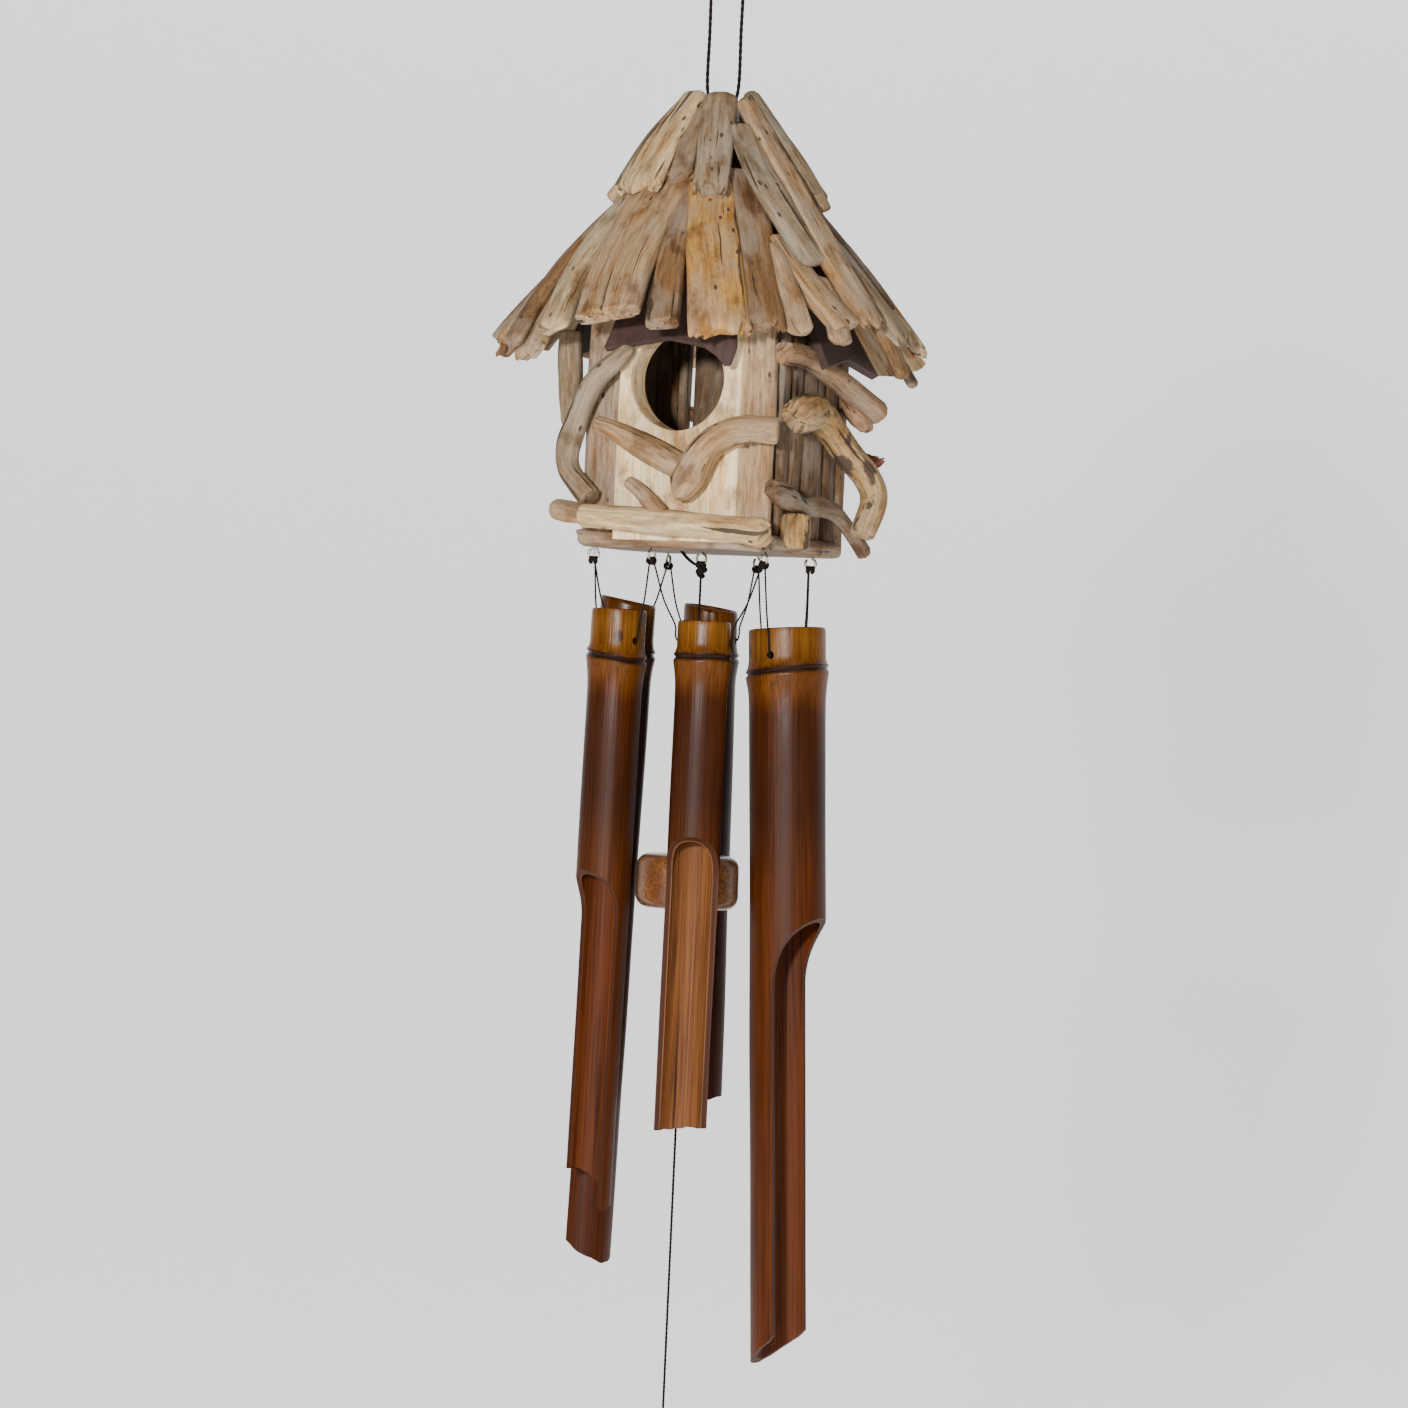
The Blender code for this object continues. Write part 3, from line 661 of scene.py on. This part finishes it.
def back_rows():
    """The courses on the sides that turn away, laid by a rule."""
    dice = random.Random(12)
    tones = (TAN, GREY, PALE, BROWN, TAN, GOLD, GREY, PINK)
    upper, lower = [], []
    for i, angle in enumerate(range(38, 215, 25)):
        turn = angle + dice.uniform(-3, 3)
        upper.append((f"back_{i + 1}", turn, turn + dice.uniform(-7, 7), 70 + dice.uniform(0, 4),
                      124 + dice.uniform(-5, 12), 11, dice.uniform(19, 25), dice.uniform(7, 10),
                      dice.uniform(0, 2), dice.choice(tones),
                      dice.choice(("round", "cut", "torn"))))
    for i in range(14):
        turn = 33 + 12.8 * i + dice.uniform(-2, 2)
        lower.append((f"back_{i + 1}", turn + dice.uniform(-5, 5), turn, 119 + dice.uniform(0, 6),
                      194 + dice.uniform(-5, 8), dice.uniform(12, 16), dice.uniform(18, 27),
                      dice.uniform(7, 11), dice.uniform(-1, 2.5), dice.choice(tones),
                      dice.choice(("round", "cut", "torn", "torn"))))
    return upper, lower


def roof_point(angle, depth, radius):
    turn = radians(angle)
    return Vector((radius * cos(turn), radius * sin(turn), down(depth * MM)))


def shingles(finish):
    """Split driftwood shingles in two courses, each on the cone that its course follows."""
    upper_back, lower_back = back_rows()
    courses = (
        ("upper_shingle_", (*UPPER, *upper_back), 17.5, 69, 0.726,
         [n for n in BODY if n.startswith("upper_shingles")]),
        ("lower_shingle_", (*LOWER, *lower_back), 42.5, 118, 0.862,
         [n for n in BODY if n.startswith("lower_shingles")]),
    )
    for prefix, rows, radius, start, slope, nodes in courses:
        for seed, row in enumerate(rows):
            name, turn, turn_low, high, low, wide, wide_low, thick, lift, tone, end = row
            points = []
            for i in range(4):
                share = i / 3
                depth = high + (low - high) * share
                reach = (radius + (depth - start) * slope - thick / 2 + lift * (0.4 + 0.6 * share))
                belly = 1.3 * sin(pi * share) * (1 if seed % 2 else -0.6)
                angle = turn + (turn_low - turn) * share
                points.append(roof_point(angle, depth, (reach + belly) * MM))
            middle = radians((turn + turn_low) / 2)
            tilt = atan(slope)
            facing = Vector((cos(middle) * cos(tilt), sin(middle) * cos(tilt),
                             sin(tilt)))
            power = 3.4 if wide_low > 15 else 2.4
            widths = (wide * MM, (wide + wide_low) / 2 * MM, wide_low * MM)
            made = wood(prefix + name, points, widths,
                        (thick * 0.8 * MM, thick * MM, thick * 0.85 * MM), finish, tone,
                        seed + 10 * len(rows), facing, power, ("round", end), 0.6 * MM)
            settle(made, "house", nodes)


def slats(finish):
    """The wall boards: each node's own width, or two boards side by side."""
    split = {"right_slat_1": (0.42, 0.58), "right_slat_3": (0.55, 0.45), "back_slat_2": (0.5, 0.5),
             "left_slat_1": (0.6, 0.4), "left_slat_2": (0.45, 0.55), "back_slat_3": (0.4, 0.6)}
    names = sorted(n for n in BODY if "_slat_" in n)
    tones = {"front_slat_left": (0.30, 0.215, 0.150), "front_slat_right": (0.36, 0.25, 0.155)}
    choices = ((0.165, 0.105, 0.062), (0.125, 0.078, 0.046), (0.185, 0.118, 0.066),
               (0.150, 0.100, 0.068))
    hang, proud = down(297.5 * MM), 1.4 * MM
    for seed, node in enumerate(names):
        low, high = box(node)
        across = 0 if node.startswith(("front", "back")) else 1
        depth_axis = 1 - across
        outward = Vector()
        outward[depth_axis] = {"fr": -1, "ba": 1, "ri": 1, "le": -1}[node[:2]]
        start = low[across]
        for i, share in enumerate(split.get(node, (1.0,))):
            width = (high[across] - low[across]) * share
            middle = Vector()
            middle[across] = start + width / 2
            middle[depth_axis] = (low[depth_axis] + high[depth_axis]) / 2
            middle += outward * proud
            start += width
            foot = hang if node.startswith(("front", "right")) else low.z
            points = [middle + up(foot + (high.z - foot) * k / 3) for k in range(4)]
            thick = high[depth_axis] - low[depth_axis]
            tone = tones.get(node, choices[(seed + i) % 4])
            made = wood(f"{node}_board_{i + 1}", points, (width - 0.7 * MM,) * 2,
                        (thick - 0.6 * MM,) * 2, finish, tone, 40 + seed * 3 + i, outward, 3.0,
                        ("cut", "cut"), 0.32 * MM)
            settle(made, "house", (node,))


def front_plate(finish):
    """The pale board: a section round its edge for each direction from the way in."""
    low, high = box("front_plate")
    centre = Vector((9.5 * MM, (low.y + high.y) / 2, down(217 * MM)))
    radius = 25 * MM
    ease = 0.9 * MM
    half = (high.y - low.y) / 2
    corners = [atan2(z - centre.z, x - centre.x) for x in (low.x, high.x) for z in (low.z, high.z)]
    angles = sorted([angle - pi for angle in around(120)] + corners)
    rows, grain = [], []
    for angle in angles:
        c, s = cos(angle), sin(angle)
        reach = min(((high.x if c > 0 else low.x) - centre.x) / c if abs(c) > 1e-6 else 9,
                    ((high.z if s > 0 else low.z) - centre.z) / s if abs(s) > 1e-6 else 9)
        profile = ((radius, half - ease), (radius + 0.3 * ease, half - 0.3 * ease),
                   (radius + ease, half), (radius + (reach - radius) * 0.35, half),
                   (radius + (reach - radius) * 0.7, half), (reach - ease, half),
                   (reach - 0.3 * ease, half - 0.3 * ease), (reach, half - ease),
                   (reach, -half), (radius + 1.2 * MM, -half), (radius + 1.2 * MM, -half - 8 * MM),
                   (radius, -half - 8 * MM), (radius, 0.0))
        row = []
        for r, y in profile:
            point = centre + Vector((r * c, -y, r * s))
            wave = noise.noise(Vector((point.x * 45, 2.0, point.z * 12))) * 0.25 * MM
            row.append(point + Vector((0, wave if y > -half else 0, 0)))
            grain.append(tuple(point))
        rows.append(row)
    made = rows_to_mesh("front_board", rows, finish, capped=False)
    made.data.set_sharp_from_angle(angle=radians(50))
    paint(made, grain, (0.76, 0.60, 0.37))
    settle(made, "house", ("front_plate",))


def branches(plain, barky, board):
    """Bent sticks, on their nodes' routes, with forks, bulges and broken ends."""
    def stick(name, points, radii, tone, seed, nodes=(), ends=("cut", "cut"), flat=1.0,
              finish=plain, **more):
        widths = [2 * r * MM for r in radii]
        made = wood(name, spots(*points), widths, [w * flat for w in widths], finish, tone, seed,
                    ends=ends, power=2.1, rough=0.55 * MM, spacing=2.0 * MM, **more)
        settle(made, "house", nodes)

    stick("left_fork", ((-12, -66.5, 201), (-19, -66, 208), (-33, -63, 219), (-44, -57.5, 238),
                        (-49, -57, 253), (-48, -57.3, 262), (-42, -59, 269), (-33, -61.5, 277)),
          (3.6, 4.8, 5.6, 5.4, 5.8, 5.5, 5.2, 5.6), GREY, 101, ("branch_left",), ("round", "cut"),
          knots=((0.62, 2.8, 1.8 * MM, 6 * MM),))
    stick("left_fork_arm", ((-55, -47, 194), (-54, -49, 205), (-51, -52, 222), (-47, -56, 243)),
          (6.0, 6.2, 5.8, 5.0), GREY, 102, (), ("cut", "round"))
    stick("front_vee_arm", ((-31, -66, 239), (-20, -66, 243), (-7, -66.2, 249), (7, -66.4, 255),
                            (20, -66.8, 261)),
          (3.4, 4.8, 6.2, 6.8, 6.6), TAN, 103, ("branch_front",), ("round", "round"))
    stick("front_vee", ((15, -67, 272), (19, -67.4, 270), (24, -67.2, 263), (30, -67, 252.5),
                        (38, -66.6, 245.5), (50, -65.5, 241), (66, -60, 241)),
          (7.2, 8.8, 8.4, 7.2, 6.6, 6.2, 6.8), TAN, 113, ("branch_front",), ("round", "cut"),
          knots=((0.2, 4.6, 1.6 * MM, 5 * MM),))
    stick("perch_stick", ((-36, -65.2, 284.5), (0, -65.4, 287), (34, -65.2, 289), (67, -65.2, 291)),
          (5.6, 6.4, 6.2, 6.4), PALE, 104, ("perch",), ("cut", "torn"), tear=5 * MM,
          knots=((0.93, 1.2, 1.5 * MM, 5 * MM), (0.93, 4.4, 1.2 * MM, 5 * MM)))
    stick("perch_stub", ((-54, -61, 282), (-44, -63, 283.5), (-34, -65, 284.5)), (5.2, 5.6, 4.6),
          TAN, 105, (), ("round", "cut"))
    stick("perch_twig", ((-11, -67, 267), (-4, -66.5, 272), (3, -66, 279), (8, -65.5, 285)),
          (3.0, 3.4, 4.2, 5.0), TAN, 106, (), ("round", "round"))
    stick("right_top_stick", ((65, -60, 203.5), (66.5, -33, 203.5), (69, 2, 212), (78, 33, 226)),
          (5.8, 5.4, 5.8, 6.4), (0.265, 0.165, 0.095), 107, ("branch_right_top",),
          ("torn", "cut"), tear=5 * MM)
    stick("right_curl", ((67, -48, 235), (68, -37, 232), (69, -22, 230), (70, -6, 237),
                         (74, 7, 248), (82, 14, 260), (85, 16, 271), (83, 8, 288)),
          (7.6, 9.4, 8.6, 7.8, 7.6, 7.2, 6.8, 6.2), (0.33, 0.215, 0.095), 108,
          ("branch_right_middle",), ("torn", "cut"), tear=8 * MM, finish=barky)
    stick("right_bottom_stick", ((65, -66, 270), (65, -48, 272), (66, -28, 276), (66, -6, 275),
                                 (67, 10, 277), (69, 24, 285), (72, 37, 296)),
          (4.6, 7.4, 4.8, 5.0, 5.2, 5.0, 4.8), (0.150, 0.098, 0.062), 109, ("branch_right_bottom",),
          ("torn", "cut"), 0.8, tear=7 * MM)
    stick("right_lobe", ((67, 16, 222), (71, 24, 229), (76, 31, 236)), (7, 8.5, 6), PINK, 110, (),
          ("round", "torn"), 0.6, tear=6 * MM)
    edge = (0.25, 0.175, 0.11)
    stick("floor_edge_front", ((-46, -49, 294.8), (-24, -51, 295.6), (4, -51.5, 295.4),
                               (32, -51, 296), (57, -49.5, 295.6)),
          (4.0, 3.5, 4.0, 3.6, 4.2), edge, 116, (), ("torn", "torn"), tear=4 * MM)
    stick("floor_edge_right", ((58, -47, 295.2), (59, -22, 296), (59, 8, 295.6), (58, 36, 295.4)),
          (3.9, 3.5, 4.0, 3.6), edge, 117, (), ("cut", "torn"), tear=4 * MM)
    stick("corner_post", ((-37, 37, 182), (-37.5, 37, 230), (-37, 37, 290)), (3.4, 3.2, 3.6),
          BROWN, 114)
    stick("back_chip", ((-34, 44.5, 226), (-27, 44.8, 228), (-20, 44.5, 229)), (3.8, 4.4, 3.6),
          BROWN, 115, (), ("torn", "cut"), 0.7, tear=3 * MM)
    stick("red_chip", ((55, 40, 247), (66, 41, 249), (73, 42, 250), (79, 43, 247)),
          (3.0, 3.6, 5.0, 2.2), (0.20, 0.075, 0.04), 111, (), ("round", "torn"), 0.5, tear=4 * MM)
    # The splinter takes the boards' dark finish, with its painted shade.
    stick("roof_splinter", ((36, -70, 196), (41, -72.2, 203), (43.5, -73.6, 211.5)),
          (10, 6.5, 1.3), DARK, 118, (), ("cut", "round"), 0.2, finish=board,
          normal=Vector((0, -0.85, 0.53)))
    stick("log_stub", ((65.5, -33, 281), (65.5, -34, 289), (65.5, -34, 297.5)), (8.4, 9.0, 8.6),
          (0.36, 0.25, 0.12), 112, (), ("cut", "cut"), 0.85, finish=barky)


# Pipes


def boolean(made, cutter):
    """Takes the cutter out of the piece and removes the cutter."""
    step = made.modifiers.new("cut", "BOOLEAN")
    step.operation = "DIFFERENCE"
    step.solver = "EXACT"
    step.object = cutter
    graph = bpy.context.evaluated_depsgraph_get()
    data = bpy.data.meshes.new_from_object(made.evaluated_get(graph))
    made.modifiers.clear()
    made.data = data
    bpy.data.objects.remove(cutter, do_unlink=True)


def ring_points(radius, count, height=0.0):
    return [Vector((radius * cos(a), radius * sin(a), height)) for a in around(count)]


# The node's outline in mm: height over its middle, and how far it stands out
NODE_PROFILE = (
    (3.0, 0.55), (2.2, 0.9), (1.5, 1.4), (0.8, 1.45), (0.2, 0.75), (-0.4, 0.55), (-1.1, 1.1),
    (-1.9, 1.6), (-3.0, 1.5), (-5.0, 1.15), (-8.0, 0.7), (-11.0, 0.35), (-15.0, 0.1),
)


def pipe(name):
    """A lacquered bamboo pipe, its own origin in the middle of its node."""
    first, second, size, top, node, scoop, end, lean, slant_x, slant_y = PIPES[name]
    place, _ = pipe_frame(first, second, lean)
    place @= Matrix.Translation((0, 0, HANG_DEPTH - node * MM))
    radius = size * MM
    slope_x, slope_y, rim_x, rim_y, lift, scar = RINGS[name]
    flesh_tone = (1.3, 1.6, 4.2) if name == "front_middle" else (0.70, 0.55, 0.85)
    # The back pipes' skin is painted darker as painted shade; the front pipes keep their colour.
    painted_shade_tone = (0.66, 0.60, 0.55) if name.startswith("back") else (1.0, 1.0, 1.0)
    finish = bamboo_shader("bamboo_" + name, radius, slope_x, slope_y, scar, flesh_tone,
                           painted_shade_tone)
    rim, start, foot = ((node - d) * MM for d in (top, scoop, end))
    bore = radius - BAMBOO_WALL
    seed = 7.0 * list(PIPES).index(name)
    sides = 72

    def shell(reach, height, swell, slant=False):
        ring = ring_points(reach, sides, height)
        for p in ring:
            out = Vector((p.x, p.y, 0)).normalized()
            sway = noise.noise(Vector((out.x, out.y, height * 14 + seed)))
            flat = noise.noise(Vector((out.x * 2, out.y * 2, height * 5 + seed + 3)))
            p += out * (swell + sway * 0.35 + flat * 0.3) * MM
            edge = noise.noise(Vector((out.x * 3, out.y * 3, seed + height * 3)))
            if slant:
                p.z += -p.x * slant_x + p.y * slant_y + edge * 1.1 * MM
            near = max(0.0, 1 - abs(height) / (12 * MM))
            p.z += (p.x * slope_x + p.y * slope_y) * near
            top = max(0.0, (height - 12 * MM) / (rim - 12 * MM))
            p.z += (p.x * rim_x + p.y * rim_y + lift * MM) * top
        return ring

    levels = [(rim, -0.6), (rim - 0.5 * MM, -0.1), (rim - 2 * MM, 0.05)]
    levels += [((rim - 2 * MM) * (1 - i / 6) + 3 * MM * i / 6, 0.05) for i in range(1, 6)]
    levels += [(height * MM, swell) for height, swell in NODE_PROFILE]
    levels += [(-15 * MM + (foot + 15 * MM) * i / 34, 0.0) for i in range(1, 34)]
    rows = [ring_points(bore, sides, 1.5 * MM), shell(bore, rim - 0.6 * MM, 0.0),
            shell(bore + 0.6 * MM, rim, 0.0)]
    rows += [shell(radius, height, swell) for height, swell in levels]
    rows += [shell(radius, foot, 0.0, True), shell(bore, foot, 0.0, True)]
    rows += [ring_points(bore, sides, -1.5 * MM + (foot + 1.5 * MM) * i / 10)
             for i in range(9, -1, -1)]
    made = rows_to_mesh("bamboo_pipe_" + name, rows, finish)

    turn = Matrix.Translation((0, 0, CORD_HOLE_RISE)) @ Matrix.Rotation(radians(90), 4, "Y")
    hole = [[turn @ p for p in ring_points(2.0 * MM, 20, h)] for h in (-2 * radius, 2 * radius)]
    boolean(made, rows_to_mesh("hole", hole, finish))
    reach, keep, throat = 2 * radius, 0.5 * MM, 2.0 * radius
    profile = [(keep + (reach - keep) * (1 - sin(t)), start - throat * (1 - cos(t)))
               for t in (radians(5 * i) for i in range(19))][::-1]
    low = foot - 3 * radius
    outline = [(keep, low), *profile, (reach, low)]
    scoop_rows = [[Vector((x, y, z)) for y, z in outline] for x in (-reach, reach)]
    cutter = mesh_object("scoop", [p for row in scoop_rows for p in row], prism_faces(len(outline)),
                         finish)
    fix_normals(cutter)
    boolean(made, cutter)
    made.data.shade_smooth()
    made.data.set_sharp_from_angle(angle=radians(38))
    made.matrix_world = place
    settle(made, name + "_pipe", ("pipe_" + name,))


def prism_faces(count):
    """The faces between two like outlines of this many points."""
    faces = [tuple(range(count))[::-1], tuple(range(count, 2 * count))]
    faces += [(i, (i + 1) % count, count + (i + 1) % count, count + i) for i in range(count)]
    return faces


# Metal, knots and the rest


def wire(name, points, radius, finish, sides=12, spacing=0.5 * MM):
    """A round wire or cord on a smooth curve through the points."""
    rows = [[point + side * p.x + other * p.y for p in ring_points(radius, sides)]
            for point, side, other, _ in frames_along(smooth_route(points, spacing))]
    return rows_to_mesh(name, rows, finish)


def screw_eyes(steel, twine):
    """Wire eyes under the floor, each with the cord's knot round its ring."""
    middle = -0.3 * MM - EYE_WIRE - EYE_RADIUS
    for name, (x, y) in (*EYES.items(), ("centre", (0.0, 0.0))):
        turn = atan2(y, x)
        across = Vector((cos(turn), sin(turn), 0))
        place = Vector((x, y, FLOOR_UNDER))
        path = [(0.0, EYE_SHANK), (0.0, 3 * MM), (0.15 * MM, 1.0 * MM)]
        for i in range(12):
            angle = radians(72 - 300 * i / 11)
            path.append((EYE_RADIUS * cos(angle), middle + EYE_RADIUS * sin(angle)))
        points = [place + across * side + up(rise) for side, rise in path]
        settle(wire("eye_" + name, points, EYE_WIRE, steel), "house",
               ("screw_eye_" + name,))
        bottom = place + up(middle - EYE_RADIUS)
        beside = Vector((-across.y, across.x, 0))
        for i, sign in enumerate((-1, 1)):
            loops = []
            for k in range(22):
                angle = 2 * pi * k / 8
                out = beside * cos(angle) + up(1) * sin(angle)
                loops.append(bottom + out * 1.5 * MM + across * sign * (0.3 + 0.075 * k) * MM
                             + up(-0.5 * MM))
            made = wire(f"eye_knot_{name}_{i + 1}", loops, 0.62 * MM, twine, 8, 0.4 * MM)
            settle(made, "house")


def centre_tie(twine):
    """The centre cord's doubled end, tied back to the floor beside its eye."""
    for i, side in enumerate((-0.6, 0.6)):
        points = [Vector((x, y, z)) * MM + up(FLOOR_UNDER) for x, y, z in (
            (-1.5, side, -7.2), (-5, side * 1.5, -5.5), (-9, side * 1.3, -2.4), (-11.5, side, 0.5))]
        settle(wire(f"centre_tie_{i + 1}", points, 0.6 * MM, twine, 10), "house")


def knot(name, centre, size, body, nodes, twine):
    """A cord wound into a knot: two crossing windings over a filled middle."""
    points = []
    for i in range(73):
        t = 2 * pi * i / 24
        tube = 0.42 + 0.10 * cos(1.5 * t)
        points.append(centre + Vector((cos(t) * tube * cos(0.5 * t + 0.4),
                                       sin(t) * tube,
                                       sin(0.5 * t + 0.4) * tube * 0.95)) * size)
    made = wire(name, points, 0.26 * size, twine, 10, 0.09 * size)
    settle(made, body, nodes)


def knots(twine):
    for node, body, size in (("hanging_knot", "cord", 6.6), ("centre_knot", "clapper_hitch", 4.6),
                             ("tail_knot", "tail_hitch", 3.6)):
        low, high = box(node)
        knot(node + "_wound", (low + high) / 2, size * MM, body, (node,), twine)


def turned(name, profile, finish):
    """A piece turned on a lathe from a closed profile of radii and heights."""
    rows = [[Vector((r * cos(a), r * sin(a), z)) for r, z in profile] for a in around(72)]
    return rows_to_mesh(name, rows, finish, capped=False)


def clapper(finish):
    low, high = box("clapper")
    radius = (high.x - low.x) / 2
    middle = (low.z + high.z) / 2
    half = (high.z - low.z) / 2
    ease = 6.5 * MM
    profile = [(1.3 * MM, half)]
    profile += [(radius * k / 6, half) for k in (1, 2, 3, 4)]
    for i in range(9):
        angle = radians(90 - 11.25 * i)
        profile.append((radius - ease + ease * cos(angle), half - ease + ease * sin(angle)))
    profile += [(r, -z) for r, z in profile[::-1]]
    made = turned("clapper_disc", profile, finish)
    for v in made.data.vertices:
        out = Vector((v.co.x, v.co.y, 0))
        if out.length > 0.5 * radius:
            dent = noise.noise(Vector((v.co.x * 60, v.co.y * 60, v.co.z * 90)))
            v.co -= out.normalized() * (0.3 + dent * 0.5) * MM
    made.matrix_world = Matrix.Translation((0, 0, middle))
    settle(made, "clapper", ("clapper",))


def wind_catcher(finish):
    """A flat leaf with rounded edges."""
    low, high = box("wind_catcher")
    height, half, thick = high.z - low.z, 27 * MM, (high.y - low.y) / 2
    rows = []
    for angle in around(96):
        rise = 0.5 + 0.5 * cos(angle)
        edge = Vector((half * sin(angle) * (1.12 - 0.55 * rise), 0, height * (rise - 0.5)))
        row = []
        for inset, level in ((0.0, 0.0), (0.004, 0.55), (0.02, 0.88), (0.05, 1.0), (0.3, 1.0),
                             (0.7, 1.0), (0.95, 1.0)):
            row.append(edge * (1 - inset) + Vector((0, thick * level, 0)))
        back = [Vector((p.x, -p.y, p.z)) for p in row[::-1][:-1]]
        rows.append(row + back)
    made = rows_to_mesh("leaf_catcher", rows, finish, capped=False)
    made.matrix_world = Matrix.Translation((0, 0, (low.z + high.z) / 2))
    settle(made, "tail", ("wind_catcher",))


def hanging_ring(finish):
    low, high = box("hanging_ring")
    wire_radius = (high.x - low.x) / 2
    radius = (high.z - low.z) / 2 - wire_radius
    centre = (low + high) / 2
    rows = []
    for angle in around(64):
        out = Vector((0, cos(angle), sin(angle)))
        rows.append([centre + out * (radius + p.x) + Vector((p.y, 0, 0))
                     for p in ring_points(wire_radius, 16)])
    made = rows_to_mesh("steel_ring", rows, finish, capped=False)
    settle(made, "ring", ("hanging_ring",))


def glue(finish):
    """Blobs of hot glue where the cord goes in at the peak and by the left eye."""
    blobs = zip(spots((10.5, -5, 79), (10.5, -5.5, 86), (-10.5, -4.5, 84), (-45, -30, 299.5)),
                (3.0, 2.6, 2.2, 2.2))
    for k, (centre, size) in enumerate(blobs):
        rows = []
        for i in range(1, 12):
            level = pi * i / 12
            row = []
            for p in ring_points(sin(level), 20, cos(level) * 1.5):
                lump = 1 + 0.35 * noise.noise(p * 1.6 + Vector((k, 0, 0)))
                row.append(p * size * MM * lump + centre)
            rows.append(row)
        settle(rows_to_mesh(f"glue_{k + 1}", rows, finish), "house")


def boards(painted_shade_board, floor):
    """The boards under the shingles, brown with painted shade darkening them, and the floor board
    keep their solids, with eased edges and their own finish."""
    for node in [n for n in BODY if n.startswith("roof_board")] + ["floor_board"]:
        made = frame["nodes"][node]
        made.data.materials.clear()
        made.data.materials.append(floor if node == "floor_board" else painted_shade_board)
        ease = made.modifiers.new("ease", "BEVEL")
        ease.width = 0.7 * MM
        ease.segments = 2
        ease.limit_method = "ANGLE"


def board_shader(name, light, dark, turn):
    """A sawn board in the model's own space, with its grain turned down the slope."""
    made, tree, shader = begin(name, 0.75)
    place = own_space(tree)
    fibres = speckle(tree, place, turn, 5, 0.65)
    clouds = speckle(tree, place, (40, 40, 25), 3, 0.5)
    colour = blend(tree, fibres, (0.32, 0.0), (0.68, 1.0), dark, light)
    colour = blend(tree, clouds, (0.38, 0.5), (0.62, 0.0), colour, dark)
    dress(tree, shader, colour, fibres, 0.2 * MM)
    return made


# Stage


def stage():
    """A pale floor that bends up into a wall, a dim world and two soft lamps."""
    pale, _, _ = begin("stage", 0.9, Base_Color=(0.93, 0.93, 0.93, 1),
                       Emission_Color=(1, 1, 1, 1), Emission_Strength=0.8)
    floor, bend = -1.0, 1.5
    profile = [(-9.0, 0.0), (2.0, 0.0)]
    profile += [(2.0 + bend * sin(radians(9 * i)), bend - bend * cos(radians(9 * i)))
                for i in range(1, 11)]
    profile += [(2.0 + bend, 9.0)]
    points, faces = [], []
    for along, rise in profile:
        for side in (-9.0, 9.0):
            points.append(SCREEN_RIGHT * side - TO_CAMERA * along + up(floor + rise))
    for i in range(len(profile) - 1):
        faces.append((2 * i, 2 * i + 1, 2 * i + 3, 2 * i + 2))
    mesh_object("backdrop", points, faces, pale)

    world = bpy.data.worlds.new("studio")
    world.use_nodes = True
    background = world.node_tree.nodes["Background"].inputs
    background["Color"].default_value = (1, 1, 1, 1)
    background["Strength"].default_value = 0.12
    bpy.context.scene.world = world

    def lamp(name, side, rise, forward, size, power):
        data = bpy.data.lights.new(name, "AREA")
        data.shape = "DISK"
        data.size = size
        data.energy = power
        made = linked(name, data)
        aim = up(down(0.35))
        made.location = aim + SCREEN_RIGHT * side + TO_CAMERA * forward + up(rise)
        made.rotation_mode = "QUATERNION"
        made.rotation_quaternion = (aim - made.location).to_track_quat("-Z", "Y")

    lamp("key", -0.45, 0.22, 2.3, 0.16, 72)
    lamp("top", 0.3, 1.8, 1.2, 1.0, 12)


def main():
    camera()
    twine = twine_shader("twine")
    hanging_cord(twine)
    slings(twine)
    middle_cords(twine)
    driftwood = wood_shader("driftwood", 620, contrast=0.42, pits=0.9)
    shingles(driftwood)
    # The brown boards under the shingles, painted darker as painted shade for the gaps between the
    # shingles.
    painted_shade_board = board_shader("brown_board", (0.060, 0.026, 0.018), (0.022, 0.010, 0.007),
                         (260, 260, 18))
    barky = wood_shader("barky_driftwood", 620, contrast=0.45, pits=0.9, bark=0.9)
    branches(driftwood, barky, painted_shade_board)
    slats(wood_shader("slats", 700, contrast=0.45, pits=0.9))
    front_plate(wood_shader("pale_board", 640, contrast=0.2, pits=0.0, roughness=0.6,
                            relief=0.2 * MM, grey=0.2, split=0.0))
    boards(painted_shade_board, board_shader("floor_wood", (0.26, 0.175, 0.105), (0.12, 0.075, 0.045),
                               (18, 260, 260)))
    steel = steel_shader("steel")
    screw_eyes(steel, twine)
    hanging_ring(steel)
    centre_tie(twine)
    knots(twine)
    for name in PIPES:
        pipe(name)
    amber = lacquered_shader("clapper_wood", (0.27, 0.100, 0.016), (0.070, 0.019, 0.005),
                             (800, 800, 800))
    clapper(amber)
    wind_catcher(amber)
    glue(glue_shader("glue"))
    stage()


main()
